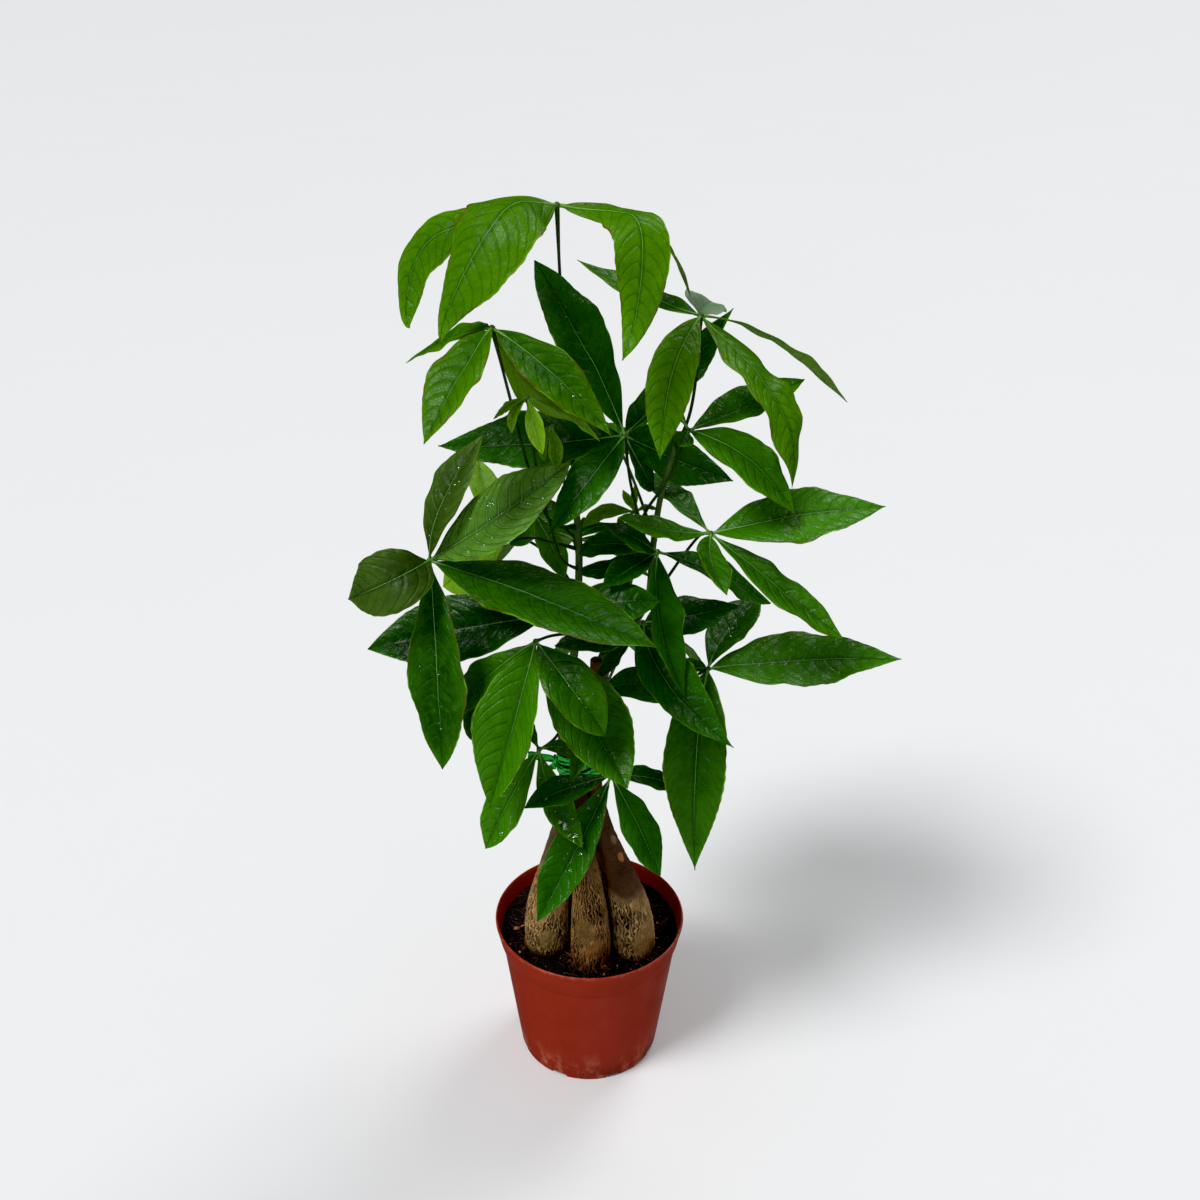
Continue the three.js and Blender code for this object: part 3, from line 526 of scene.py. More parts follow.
def makeBark(name, look):
    skin = Skin(name, Roughness=0.8, Specular_IOR_Level=0.08)
    z = skin.axes()[2]
    low, lowFull, highFull, high = [level * mm for level in look["strands"]]
    uneven = skin.grain(70.0, 4.0, 0.65) * 0.03 - 0.015
    level = z + uneven * 0.6
    worn = skin.grain(75.0, 3.0, 0.6, (1, 1, 0.5)).ease(0.38, 0.62)
    cloud = skin.mottle(60.0, 2.6)
    fibres = skin.grain(640.0, 3.0, 0.65, (1, 1, 0.14))
    gapMask = (1 - skin.attribute("strand")) * (worn * 0.2 + 0.8)
    ridge = skin.over(skin.tones(cloud, look["ridge"], 0.85, 2.1), (fibres.ease(0.52, 0.36) * 0.45, look["gap"]))
    gap = skin.tones(skin.grain(420.0, 2.0, 0.6), look["gap"], 0.5, 1.7)
    lichen = skin.grain(560.0, 3.0, 0.65, (1, 1, 0.7)).ease(0.56, 0.7)
    head = skin.over(skin.tones(skin.mottle(90.0, 2.4, (1, 1, 0.6)), look["head"], 0.5, 1.35),
                     (lichen * 0.4, shadeOf(look["head"], 2.1)))
    pits = skin.cells(330.0, "F1").ease(0.42, 0.2)
    foot = skin.over(skin.tones(skin.mottle(130.0, 3.0), look["foot"], 0.3, 1.5), (pits * 0.7, look["gap"]))
    colour = skin.over(ridge, (gapMask, gap), (level.ease(highFull, high), head), (level.ease(lowFull, low), foot))
    torn = skin.grain(210.0, 4.0, 0.65, (1, 1, 0.6)) * 2.0 - 1.0
    for number, (_, _, size, tone) in enumerate(look["patches"]):
        large = size > trunkPlan["largePatch"]
        spot = skin.attribute(f"patch{number}")
        bare = (spot + torn * (1.0 if large else 0.3)).ease(0.2, 0.5) * spot.ease(0.0, 0.15)
        cover = gapMask * -0.5 + 0.6 if large else 0.85
        colour = skin.over(colour, (bare * cover, skin.tones(cloud, tone, 0.6, 1.2)))
    dirt = (z + uneven * 0.4).ease(0.1345, 0.1270) * 0.85
    height = fibres + skin.grain(900.0, 2.0, 0.6) * 0.5
    return skin.finish(skin.over(colour, (dirt, (24, 15, 10))), cloud * 0.25 + 0.5, height, 0.0006, 0.8)


def makeTrunk(node, trunk, number):
    scale = 1 if number < 3 else 1.5  # the two at the back are a little coarser
    sides = round(trunkPlan["sides"] / scale)
    top = trunk["top"][2]
    low, lowFull, highFull, high = trunk["strands"]
    levels = [*trunkPlan["firstLevels"]]
    z = trunkPlan["fineFrom"]
    while z < top - 2:
        levels.append(z)
        z += (trunkPlan["fineStep"] if z < trunkPlan["fineTo"] else trunkPlan["coarseStep"]) * scale
    levels += [top - 1.2, top - 0.3, top]
    seed = 7.3 * number + 2
    bm = bmesh.new()
    strandLayer = bm.verts.layers.float.new("strand")
    patchLayers = [bm.verts.layers.float.new(f"patch{i}") for i in range(len(trunk["patches"]))]
    bmesh.ops.create_grid(bm, x_segments=sides, y_segments=len(levels) - 1, size=1)
    rows = {}
    for vert in bm.verts:
        row = round((vert.co.y + 1) / 2 * (len(levels) - 1))
        turn = math.pi * (vert.co.x + 1)
        z = levels[row]
        if row not in rows:
            rows[row] = (trunkMiddle(trunk, z), trunk["radius"] * between(trunkSwell, z))
        middle, radius = rows[row]
        turnX, turnY = math.cos(turn), math.sin(turn)
        place = Vector((radius * turnX, radius * turnY, z))
        strand = barkStrand(turn, z, place, seed)
        strength = easeStep(z, low, lowFull) * (1 - easeStep(z, highFull, high))
        lump = 0.05 * noise.noise(Vector((turnX * 1.3, turnY * 1.3, z * 0.022 + seed)))
        dent = 0.35 * noise.noise(place * 0.22 + Vector((seed, 0, 0)))
        ring = 0.28 * noise.noise(Vector((seed, 0.15 * turnX, z * 0.42))) * easeStep(z, highFull, high)
        for layer, (patchTurn, patchZ, size, _) in zip(patchLayers, trunk["patches"]):
            aside = radius * ((turn - math.radians(patchTurn) + math.pi) % math.tau - math.pi)
            bare = max(0, 1 - math.hypot(aside, (z - patchZ) * 0.75) / size / 1.3)
            vert[layer] = bare
            strength *= 1 - 0.6 * easeStep(bare, 0.2, 0.5)
        out = radius * (1 + lump) + dent + ring - trunkPlan["groove"] * (1 - strand) * (0.05 + 0.95 * strength)
        out *= {0: 0.84, 1: 0.96}.get(len(levels) - 1 - row, 1.0)
        vert.co = Vector((middle[0] + out * turnX, middle[1] + out * turnY, z)) * mm
        vert[strandLayer] = lerp(1.0, strand, 0.2 + 0.8 * strength)
    bmesh.ops.remove_doubles(bm, verts=bm.verts, dist=same)
    bmesh.ops.holes_fill(bm, edges=[edge for edge in bm.edges if edge.is_boundary], sides=0)
    bmesh.ops.recalc_face_normals(bm, faces=bm.faces)
    finishPiece(f"{node}_bark", bm, [makeBark(f"{node}Bark", trunk)], [node])


for number, (node, trunk) in enumerate(trunks.items()):
    makeTrunk(node, trunk, number)
print("stage 3 of 8: trunks")


# soil: a lumpy bed, crumbs, fibres, pale grit, bark chips, and the fine roots at the trunks' feet
soilPlan = dict(top=127, lump=1.6, edge=79.0, sides=150, rings=46, crumbs=820, fibres=260, grit=90, chips=10)


def soilLevel(x, y):
    rise = 0.5 * math.sin(x * 0.13 + 1) * math.cos(y * 0.17) + 0.4 * math.sin((x + y) * 0.29)
    clods = 1.5 * noise.noise(Vector((x * 0.11, y * 0.11, 3.0))) + 1.1 * noise.noise(Vector((x * 0.3, y * 0.3, 9.0)))
    fine = 0.7 * noise.noise(Vector((x * 0.8, y * 0.8, 5.0)))
    return soilPlan["top"] + soilPlan["lump"] * rise * 0.6 + clods + fine - 0.6


def makeSoilSkin(name, low, high, rough):
    skin = Skin(name, Roughness=rough, Specular_IOR_Level=0.1)
    damp = skin.grain(38.0, 2.0, 0.5).ease(0.42, 0.6)
    colour = skin.over(skin.mix(skin.mottle(260.0, 2.6), low, high), (damp * 0.35, (12, 8, 6)))
    return skin.finish(colour, damp * -0.25 + rough, skin.grain(1300.0, 3.0, 0.7), 0.0006, 0.8)


def makeSoil():
    edge, top, rings = [soilPlan[key] for key in ("edge", "top", "rings")]
    side = [(0, 2.4), (60.6, 2.4), (75.6, 114), (77.0, 117), (edge, top - 1.2)]
    rim = [(edge * (1 - (ring / rings) ** 0.9), top) for ring in range(rings + 1)]
    bm = turnProfile(side + rim, soilPlan["sides"])
    for vert in bm.verts:
        x, y, z = vert.co / mm
        if z > top - 0.5:
            vert.co.z = soilLevel(x, y) * mm
    bmesh.ops.recalc_face_normals(bm, faces=bm.faces)
    finishPiece("soil_bed", bm, [makeSoilSkin("darkPeat", (12, 9, 8), (26, 20, 17), 0.9)], ["soil"])


def freeSpot(chance, inner=0.0, clear=0.8):
    # a random place on the soil that no trunk stands on
    while True:
        turn, radius = chance.uniform(0, math.tau), (soilPlan["edge"] - 1.5) * math.sqrt(chance.uniform(inner, 1))
        x, y = radius * math.cos(turn), radius * math.sin(turn)
        away = min(math.hypot(x - t["base"][0], y - t["base"][1]) - t["radius"] for t in trunks.values())
        if away > clear:
            return x, y


def makeLitter():
    chance = random.Random(41)
    materials = [
        makeSoilSkin("peatCrumb", (14, 11, 9), (35, 26, 21), 0.9),
        makeSoilSkin("peatFibre", (44, 32, 26), (96, 68, 54), 0.8),
        makeSoilSkin("paleGrit", (120, 108, 94), (176, 164, 148), 0.7),
        makeSoilSkin("orangeChip", (136, 80, 50), (204, 138, 92), 0.75),
    ]
    bm = bmesh.new()

    def speck(x, y, size, flat, material, sink):
        turn = Matrix.Rotation(chance.uniform(0, math.tau), 4, "Z") @ Matrix.Rotation(chance.uniform(-0.6, 0.6), 4, "X")
        spot = Matrix.Translation(Vector((x, y, soilLevel(x, y) + size * flat * sink)) * mm)
        shape = Matrix.Diagonal((size * mm, size * chance.uniform(0.55, 0.9) * mm, size * flat * mm, 1))
        made = bmesh.ops.create_icosphere(bm, subdivisions=1, radius=1, matrix=spot @ turn @ shape)["verts"]
        for vert in made:
            vert.co += Vector([chance.uniform(-1, 1) for _ in range(3)]) * size * 0.16 * mm
        for face in facesAt(made):
            face.material_index = material

    for _ in range(soilPlan["crumbs"]):
        x, y = freeSpot(chance)
        speck(x, y, chance.choice((0.7, 0.9, 1.2, 1.7, 2.3)), chance.uniform(0.5, 0.9), 0, 0.3)
    for _ in range(soilPlan["grit"]):
        x, y = freeSpot(chance)
        speck(x, y, chance.uniform(0.35, 0.8), 0.8, 2, 0.8)
    for x, y, size in [(-66, -6, 3.6), (-60, -3, 3.0), (62, 3, 2.4)]:
        speck(x, y, size, 0.34, 3, 0.9)
    for _ in range(soilPlan["chips"]):
        x, y = freeSpot(chance, 0.3, 2.0)
        speck(x, y, chance.uniform(1.2, 2.4), 0.3, 3, 0.8)
    for _ in range(soilPlan["fibres"]):
        x, y = freeSpot(chance, 0.1, 1.0)
        turn, length = chance.uniform(0, math.tau), chance.uniform(5, 17)
        places = []
        for step in range(5):
            ahead = length * (step / 4 - 0.5)
            px = x + ahead * math.cos(turn) + chance.uniform(-0.5, 0.5)
            py = y + ahead * math.sin(turn) + chance.uniform(-0.5, 0.5)
            reach = math.hypot(px, py)
            if reach > soilPlan["edge"] - 1:
                px, py = px * (soilPlan["edge"] - 1) / reach, py * (soilPlan["edge"] - 1) / reach
            places.append(Vector((px, py, soilLevel(px, py) + 0.5 + chance.uniform(0, 0.9))) * mm)
        thick = chance.uniform(0.16, 0.38) * mm
        addTube(bm, places, [thick, thick * 1.1, thick, thick * 0.8, thick * 0.5], 4, 1)
    finishPiece("soil_litter", bm, materials)


def makeRoots():
    # thin roots that run down each foot and into the soil, thickest on the middle trunk
    chance = random.Random(17)
    bm = bmesh.new()
    amounts = {"trunk_left": 9, "trunk_middle": 34, "trunk_right": 14, "trunk_back_right": 8, "trunk_back_left": 8}
    for node, amount in amounts.items():
        trunk = trunks[node]
        for _ in range(amount):
            turn = chance.uniform(0, math.tau) if node != "trunk_middle" else -math.pi / 2 + chance.uniform(-1.5, 1.5)
            start = chance.uniform(129, 136 if node != "trunk_middle" else 147)
            sway = chance.uniform(-0.35, 0.35)
            places = []
            for step in range(6):
                share = step / 5
                z = lerp(start, soilPlan["top"] - 1.5, min(share * 1.5, 1))
                out = trunk["radius"] * between(trunkSwell, z) + 0.1 + max(share - 0.62, 0) * chance.uniform(8, 22)
                angle = turn + sway * share + chance.uniform(-0.03, 0.03)
                x, y = (trunk["base"][axis] + out * (math.cos, math.sin)[axis](angle) for axis in (0, 1))
                places.append(Vector((x, y, max(z, soilLevel(x, y) + 0.2 if share > 0.62 else 0))) * mm)
            thick = chance.uniform(0.22, 0.6) * mm
            addTube(bm, places, [thick * size for size in (0.4, 0.8, 1, 0.9, 0.7, 0.35)], 5)
    finishPiece("foot_roots", bm, [makeSoilSkin("rootSkin", (92, 42, 22), (160, 88, 48), 0.7)])


makeSoil()
makeLitter()
makeRoots()
print("stage 4 of 8: soil, litter and roots")


# the green tape round the five necks; ends: length, width, height and tilt; knot: place along Y, height and size
tapePlan = dict(
    thickness=0.55, wrinkle=0.42, taut=0.6, bandCells=(180, 7), endCells=(16, 4), knotCells=(14, 6),
    ends=[(24, 6.5, 317.5, 14), (15, 6.0, 312, -24)], knot=[(-4.5, 312, 3.4), (-2.2, 317, 3.8), (-6.2, 320, 3.0)],
)


def tapeReach(turn, turns):
    # how far a taut band stands from the middle in this direction, drawn in a little between the necks
    ring, inner = tiePlan["ring"], tiePlan["inner"]
    way = Vector((math.cos(turn), math.sin(turn), 0))
    reach = 0.0
    for other in turns:
        offset = ring * Vector((math.cos(other), math.sin(other), 0))
        along = offset.dot(way)
        aside = offset.length_squared - along * along
        if along > 0 and aside < inner ** 2:
            reach = max(reach, along + math.sqrt(inner ** 2 - aside))
    nearest = min(abs((turn - other + math.pi) % math.tau - math.pi) for other in turns)
    half = math.pi / len(turns)
    corner = ring * math.cos(half) + inner
    taut = max(reach, min(corner / max(math.cos(half - nearest), 0.6), ring + inner))
    return lerp(reach, taut, tapePlan["taut"])


def makeTape():
    skin = Skin("greenTape", Roughness=0.22, Specular_IOR_Level=0.7, Coat_Weight=1.0, Coat_Roughness=0.2)
    # the stretched noise below runs the colour from dark in the creases to bright on the crests: painted fold shade and
    # painted highlights; it also gives the bump
    foldsAndPaintedLight = skin.grain(110.0, 3.0, 0.6, (1, 1, 5))
    colour = skin.mix(foldsAndPaintedLight.ease(0.36, 0.54), (0, 70, 18), (54, 242, 84))
    material = skin.finish(colour, skin.mottle(90.0, 1.5) * 0.16 + 0.1, foldsAndPaintedLight, 0.0016, 0.8)
    turns = [math.radians(trunk["turn"]) for trunk in trunks.values()]
    centre = Vector((*tiePlan["centre"], 0))
    outside = centre.x - tiePlan["ring"] - tiePlan["inner"]
    bm = bmesh.new()
    for number, low in enumerate(tiePlan["bands"]):
        def band(x, y):
            turn, share = math.pi * (x + 1), (y + 1) / 2
            c, s = math.cos(turn), math.sin(turn)
            fold = Vector((c * 2.2, s * 2.2, share * 2.6 + 5 * number))
            creases = noise.noise(fold * 1.4) + 0.5 * noise.noise(fold * 3.1)
            out = tapeReach(turn, turns) + 0.5 + tapePlan["wrinkle"] * creases
            z = low + share * tiePlan["bandHeight"] + 0.5 * noise.noise(Vector((c, s, number * 3.0)))
            return centre + Vector((out * c, out * s, z))

        bmesh.ops.remove_doubles(bm, verts=shapeGrid(bm, tapePlan["bandCells"], band), dist=same)
    for number, (length, width, height, tilt) in enumerate(tapePlan["ends"]):
        def looseEnd(x, y):
            along, share, slope = (1 - x) / 2, y / 2, math.radians(tilt)
            twist = 0.9 * along + 0.3 * number
            sway = 1.6 * math.sin(along * 3.4 + number)
            lift = along * length * math.sin(slope) + share * width * math.cos(twist)
            return (outside - 0.5 - along * length * math.cos(slope),
                    centre.y - 6 + sway + share * width * math.sin(twist), height + lift + 0.5 * math.sin(along * 9))

        shapeGrid(bm, tapePlan["endCells"], looseEnd)
    for number, (aside, height, size) in enumerate(tapePlan["knot"]):
        def crumple(x, y):
            loop = math.pi * 1.5 * (x * 0.5 + 0.5) + number
            return (outside - 1.2 + 1.6 * math.cos(loop), centre.y + aside + size * math.sin(loop) * 0.7,
                    height + y * size * (1 - 0.3 * abs(x)))

        shapeGrid(bm, tapePlan["knotCells"], crumple)
    shell = bmesh.ops.extrude_face_region(bm, geom=list(bm.faces), use_keep_orig=True)
    bm.normal_update()
    for vert in newParts(shell, bmesh.types.BMVert):
        vert.co -= vert.normal * tapePlan["thickness"] * mm
    bmesh.ops.recalc_face_normals(bm, faces=bm.faces)
    finishPiece("tie_wrapped", bm, [material], ["tie_tape"])


makeTape()
print("stage 5 of 8: tie tape")


# green shoots, with rings where old leaves fell
shootPlan = dict(sides=20, steps=16, ring=0.16, rings=5.5)
shoots = {
    "shoot_left": dict(radius=(3.6, 2.3), points=[
        (-16, 8, 388), (-12, 2, 425), (-10, 0, 470), (-10, 0, 516), (-13, 0, 546), (-14, 0, 572)]),
    "shoot_right": dict(radius=(3.2, 2.1), points=[
        (12, 6, 392), (32, 5, 430), (45, 5, 457), (48, 5, 500), (53, 10, 542), (63, 17, 584)]),
    "shoot_middle": dict(radius=(2.6, 1.7), points=[
        (5, -8, 402), (20, -3, 443), (30, 0, 473), (35, 0, 512), (37, 0, 530)]),
}


def makeStemSkin(name, low, high, rough=0.42):
    skin = Skin(name, Roughness=rough, Specular_IOR_Level=0.4)
    streak = skin.grain(900.0, 2.0, 0.5, (1, 1, 0.12))
    colour = skin.mix(skin.mottle(160.0, 2.4, (1, 1, 0.3)), low, high)
    return skin.finish(colour, streak * 0.2 + (rough - 0.1), streak, 0.0003, 0.5)


def makeShoot(node, shoot):
    places = smoothPath(shoot["points"], shootPlan["steps"])
    radii = []
    for i in range(len(places)):
        share = i / (len(places) - 1)
        swell = 1 + shootPlan["ring"] * max(0, math.cos(share * math.tau * shootPlan["rings"])) ** 14
        radii.append(lerp(*shoot["radius"], share) * swell * mm)
    radii[-1] *= 0.6
    bm = bmesh.new()
    addTube(bm, places, radii, shootPlan["sides"])
    finishPiece(f"{node}_stem", bm, [shootSkin], [node])


shootSkin = makeStemSkin("shootSkin", (46, 78, 22), (88, 128, 46))
for node, shoot in shoots.items():
    makeShoot(node, shoot)
print("stage 6 of 8: shoots")


# leaves
def blade(width, face, shade, *rib, **more):
    # a leaflet: its width, the way it faces, its shade (-1 dark to 1 light; partly its own tone, partly painted light
    # and shadow set one leaflet at a time) and the midrib's points after the hub;
    # more: fold in degrees, widest (0 to 1 along), shoulder, wave, corners and a skin of its own
    return dict(width=width, face=face, shade=shade, rib=rib, **more)


# stalk holds the points from the shoot to the hub
leaves = {
    "leaf_crown": dict(tone="young", hub=(-25, 0, 765), stalk=[
        (-14, 0, 568), (-15, 10, 590), (-16, 17, 612), (-18, 12, 650), (-23, 4, 710)], leaflets=[
        blade(64, (-0.18, -0.61, 0.77), 0.3, (-51, -27, 771), (-68, -45, 757), (-91, -52, 719), (-103, -47, 678),
              fold=-17, widest=0.41, shoulder=0.75, wave=1.0, corners=[(0.31, 1, 7)]),
        blade(35, (-0.52, -0.75, 0.41), 0.25, (-88, 5, 750), (-120, 16, 733), (-134, 18, 701), (-133, 7, 676),
              fold=-10, widest=0.62, wave=1.6),
        blade(39, (0.01, -0.4, 0.92), 0.4, (20, -15, 763), (33, -37, 752), (32, -40, 713), (21, -56, 672), fold=-12,
              widest=0.5, shoulder=0.83, wave=2.2, corners=[(0.3, -1, 3), (0.3, 1, 3)]),
        blade(28, (0.7, 0, 0.7), 0.1, (34, 38, 746), (60, 46, 720), (74, 63, 687)),
    ]),
    "leaf_upper_left": dict(tone="young", hub=(-68, -50, 692), stalk=[
        (-12, 0, 522), (-30, -26, 538), (-45, -36, 583), (-57, -46, 640)], leaflets=[
        blade(43, (-0.26, -0.31, 0.91), 0.1, (-83, -79, 676), (-110, -113, 631), fold=14, widest=0.5),
        blade(36, (-0.5, 0, 0.9), -0.3, (-100, -15, 675), (-136, 0, 652)),
        blade(39, (0.43, -0.59, 0.69), -0.35, (-28, -69, 668), (14, -82, 627), fold=2, widest=0.46),
        # lit from behind: its pale skin and full shade paint the light shining through it
        blade(43, (0.8, -0.4, 0.5), 1.0, (-51, -27, 652), (-12, -30, 619), fold=7, widest=0.58, skin="pale"),
    ]),
    "young_leaf_left": dict(tone="pale", hub=(-44, -60, 646), stalk=[
        (-10, 0, 486), (-22, -22, 505), (-30, -38, 540), (-40, -45, 592)], leaflets=[
        blade(11, (-0.5, -0.3, 0.8), 0, (-55, -64, 643), (-68, -61, 631)),
        blade(11, (-0.6, -0.5, 0.6), 0, (-53, -68, 638), (-55, -71, 624)),
        blade(14, (-0.3, -0.8, 0.5), 0.2, (-39, -72, 632), (-33, -85, 614), fold=17),
        blade(20, (0.5, 0, 0.9), 0.3, (-18, -57, 634), (6, -60, 615)),
    ]),
    "young_leaf_hanging": dict(tone="pale", hub=(-28, -45, 620), stalk=[
        (-14, 0, 554), (-19, -28, 562), (-20, -39, 582), (-20, -43, 604)], leaflets=[
        blade(12, (-0.6, -0.6, 0.2), -0.3, (-33, -47, 608), (-34, -46, 594), fold=25),
        blade(12, (0.3, -0.9, 0.1), -0.3, (-26, -53, 608), (-25, -55, 592), fold=25),
        blade(10, (-0.9, -0.2, 0.3), -0.5, (-33, -43, 614), (-33, -40, 602), fold=20),
    ]),
    "leaf_upper_middle": dict(tone="dark", hub=(24, -20, 605), stalk=[
        (48, 5, 492), (41, -7, 518), (35, -12, 541), (29, -15, 567)], leaflets=[
        blade(54, (0.7, -0.6, 0.4), -0.15, (0, -30, 663), (-40, -18, 731), widest=0.57),
        blade(53, (-0.2, -0.6, 0.8), 0.1, (-46, 0, 590), (-115, -5, 590), fold=14, widest=0.47),
        blade(35, (-0.3, -0.6, 0.7), 0.6, (1, -50, 585), (-30, -68, 547), widest=0.47),
        blade(49, (-0.5, -0.3, 0.8), 0.1, (68, 52, 628), (107, 64, 678), widest=0.5),
        blade(44, (0.3, -0.7, 0.5), 0.5, (69, 47, 560), (113, 50, 542), widest=0.52),
        blade(24, (0.8, -0.5, 0.2), -0.2, (35, -8, 580), (49, 22, 545)),
    ]),
    "leaf_upper_right": dict(tone="young", hub=(80, 30, 681), stalk=[
        (63, 17, 580), (73, 14, 608), (78, 18, 645)], leaflets=[
        blade(35, (0.05, -0.95, 0.3), 0.3, (62, -6, 661), (54, -17, 631), (50, -27, 589), fold=1, widest=0.5,
              wave=2.2),
        blade(51, (0.57, -0.35, 0.75), 0.25, (105, 13, 661), (136, -16, 628), (149, -25, 567), fold=-3, widest=0.52,
              shoulder=0.83, wave=1.6),
        blade(38, (0.5, 0.3, 0.8), 0.2, (135, 42, 660), (197, 43, 611)),
        blade(39, (0.3, -0.2, 0.9), -0.5, (35, 49, 693), (-12, 62, 714), widest=0.45),
        blade(38, (0.4, 0, 0.9), 0.2, (84, 77, 674), (96, 128, 667), fold=19, skin="dull"),
    ]),
    "leaf_right_high": dict(tone="green", hub=(72, 0, 602), stalk=[
        (37, 0, 524), (43, -9, 543), (54, -12, 562), (64, -8, 582)], leaflets=[
        blade(46, (0.3, -0.4, 0.8), 0.4, (113, -29, 592), (151, -39, 551), widest=0.47),
        blade(40, (-0.1, -0.3, 0.9), 0.9, (114, 26, 611), (163, 46, 628), fold=15),
        blade(16, (0.4, -0.2, 0.9), 0.2, (69, -9, 600), (64, -17, 596)),
        blade(17, (-0.4, -0.5, 0.7), 0.7, (55, 32, 609), (34, 65, 578)),
    ]),
    "leaf_right_middle": dict(tone="green", hub=(91, -20, 527), stalk=[
        (46, 5, 460), (57, 12, 468), (72, 16, 490), (85, 4, 515)], leaflets=[
        blade(53, (-0.1, -0.4, 0.9), 0.8, (155, -20, 542), (224, -7, 545), widest=0.47),
        blade(48, (0.5, -0.2, 0.8), 0.5, (139, -42, 495), (192, -57, 457)),
        blade(29, (0.5, -0.1, 0.9), 0.6, (89, -61, 521), (98, -92, 511), fold=11),
        blade(30, (0.4, -0.1, 0.9), 0.6, (54, -34, 536), (20, -49, 552)),
        blade(34, (0.4, -0.3, 0.9), 0.2, (68, 24, 535), (47, 66, 543), widest=0.66),
    ]),
    "leaf_inner": dict(tone="dark", hub=(51, -15, 509), stalk=[
        (46, 5, 466), (48, -5, 480), (50, -11, 495)], leaflets=[
        blade(25, (0.6, -0.3, 0.7), -0.1, (31, -38, 532), (7, -30, 540)),
        blade(29, (-0.2, -0.4, 0.9), 0, (22, -21, 518), (-10, 13, 500), widest=0.61),
        blade(24, (0.2, -0.3, 0.9), -0.1, (29, -40, 506), (9, -62, 502), fold=15),
        blade(43, (0.7, -0.5, 0.4), 0.3, (53, -45, 461), (74, -63, 407), fold=23, widest=0.45),
        blade(47, (0.6, 0, 0.8), 0.4, (96, 3, 484), (148, 31, 442), widest=0.57),
        blade(26, (-0.4, -0.1, 0.9), -0.3, (20, -8, 493), (-12, 12, 480)),
    ]),
    "leaf_right_low": dict(tone="green", hub=(96, 0, 397), stalk=[
        (11, 5, 380), (30, 8, 371), (50, 8, 373), (75, 5, 381)], leaflets=[
        blade(61, (-0.1, -0.3, 1), 0.4, (172, 10, 400), (252, -4, 410), widest=0.47),
        blade(37, (-0.1, -0.3, 0.9), -0.1, (114, 35, 413), (145, 73, 425), fold=13),
        blade(53, (-0.3, -0.9, 0.3), 0.1, (86, -44, 341), (88, -60, 238), fold=10, widest=0.42),
        blade(23, (-0.7, 0, 0.8), -0.3, (85, 18, 387), (63, 44, 368)),
    ]),
    "leaf_centre_front": dict(tone="dark", hub=(41, -20, 450), stalk=[
        (9, -7, 414), (20, -15, 423), (32, -20, 437)], leaflets=[
        blade(48, (0.3, -0.6, 0.8), 0.5, (60, -53, 414), (111, -83, 375), fold=21, widest=0.42),
        blade(37, (0, -0.5, 0.9), 0.2, (85, 4, 445), (119, 3, 454), widest=0.45),
        blade(31, (0.1, -0.2, 1), 0.1, (10, -39, 444), (-27, -61, 451), fold=12),
        blade(24, (-0.7, -0.1, 0.7), 0, (21, -28, 425), (1, -44, 406)),
    ]),
    "leaf_left_big": dict(tone="green", hub=(-121, -40, 512), stalk=[
        (-11, 0, 504), (-29, -15, 516), (-48, -28, 526), (-83, -36, 520)], leaflets=[
        blade(75, (0.1, -0.1, 1), -0.3, (-33, -87, 503), (48, -114, 480), widest=0.52),
        blade(57, (-0.6, -0.8, 0.3), -0.45, (-115, -76, 451), (-113, -92, 359)),
        blade(47, (-0.1, -0.9, 0.4), 0.1, (-144, -77, 513), (-184, -45, 481), widest=0.45, skin="olive"),
        blade(38, (-0.7, -0.6, 0.4), 0.1, (-109, -47, 561), (-79, -24, 606), skin="olive"),
        blade(52, (-0.5, -0.6, 0.6), 0.4, (-65, -67, 561), (-15, -50, 595), fold=7, widest=0.56, skin="quilted"),
    ]),
    # lit from behind: the pale look here paints the light shining through the leaf
    "leaf_left_back": dict(tone="pale", hub=(-69, 20, 506), stalk=[
        (-10, 0, 462), (-26, 16, 482), (-48, 20, 500)], leaflets=[
        blade(30, (0.5, -0.4, 0.8), 0.5, (-83, 35, 530), (-93, 75, 550), widest=0.59),
        blade(40, (-0.2, -0.8, 0.5), 0.6, (-87, 4, 496), (-122, 34, 453)),
    ]),
    "leaf_left_inner": dict(tone="green", hub=(-44, -8, 538), stalk=[
        (-11, 2, 512), (-26, 5, 524), (-38, -3, 535)], leaflets=[
        blade(24, (-0.3, -1, 0), 0, (-32, 5, 506), (-21, 2, 476)),
        blade(25, (-0.3, -0.6, 0.7), 0, (-52, -12, 525), (-62, -16, 514)),
        blade(21, (-0.3, -0.6, 0.7), 0, (-33, -10, 541), (-24, -8, 545)),
    ]),
    "leaf_front_low": dict(tone="green", hub=(-41, -65, 457), stalk=[
        (-12, 2, 425), (-20, -22, 440), (-32, -48, 452)], leaflets=[
        blade(61, (-0.4, -0.8, 0.4), 1.0, (-56, -93, 405), (-76, -110, 336), fold=35, widest=0.47),
        blade(41, (0.2, -0.6, 0.8), 0.0, (-12, -106, 439), (12, -114, 405), fold=10),
        blade(62, (0.3, -0.7, 0.6), 0.0, (-8, -73, 405), (29, -118, 361), fold=19),
        blade(35, (-0.7, -0.5, 0.6), 0.1, (-73, -69, 433), (-108, -54, 387), fold=13, widest=0.61),
        blade(47, (-0.4, -0.8, 0.4), -0.2, (-71, -42, 396), (-87, -82, 378), fold=15, widest=0.61),
    ]),
    "leaf_left_dark": dict(tone="dark", hub=(-27, -40, 467), stalk=[
        (-10, 0, 455), (-16, -16, 460), (-23, -30, 464)], leaflets=[
        blade(36, (-0.2, -0.6, 0.8), 0, (15, -61, 488), (52, -55, 487), widest=0.56),
        blade(57, (-0.3, -0.7, 0.6), -0.5, (-103, -19, 442), (-177, -22, 425), fold=11),
    ]),
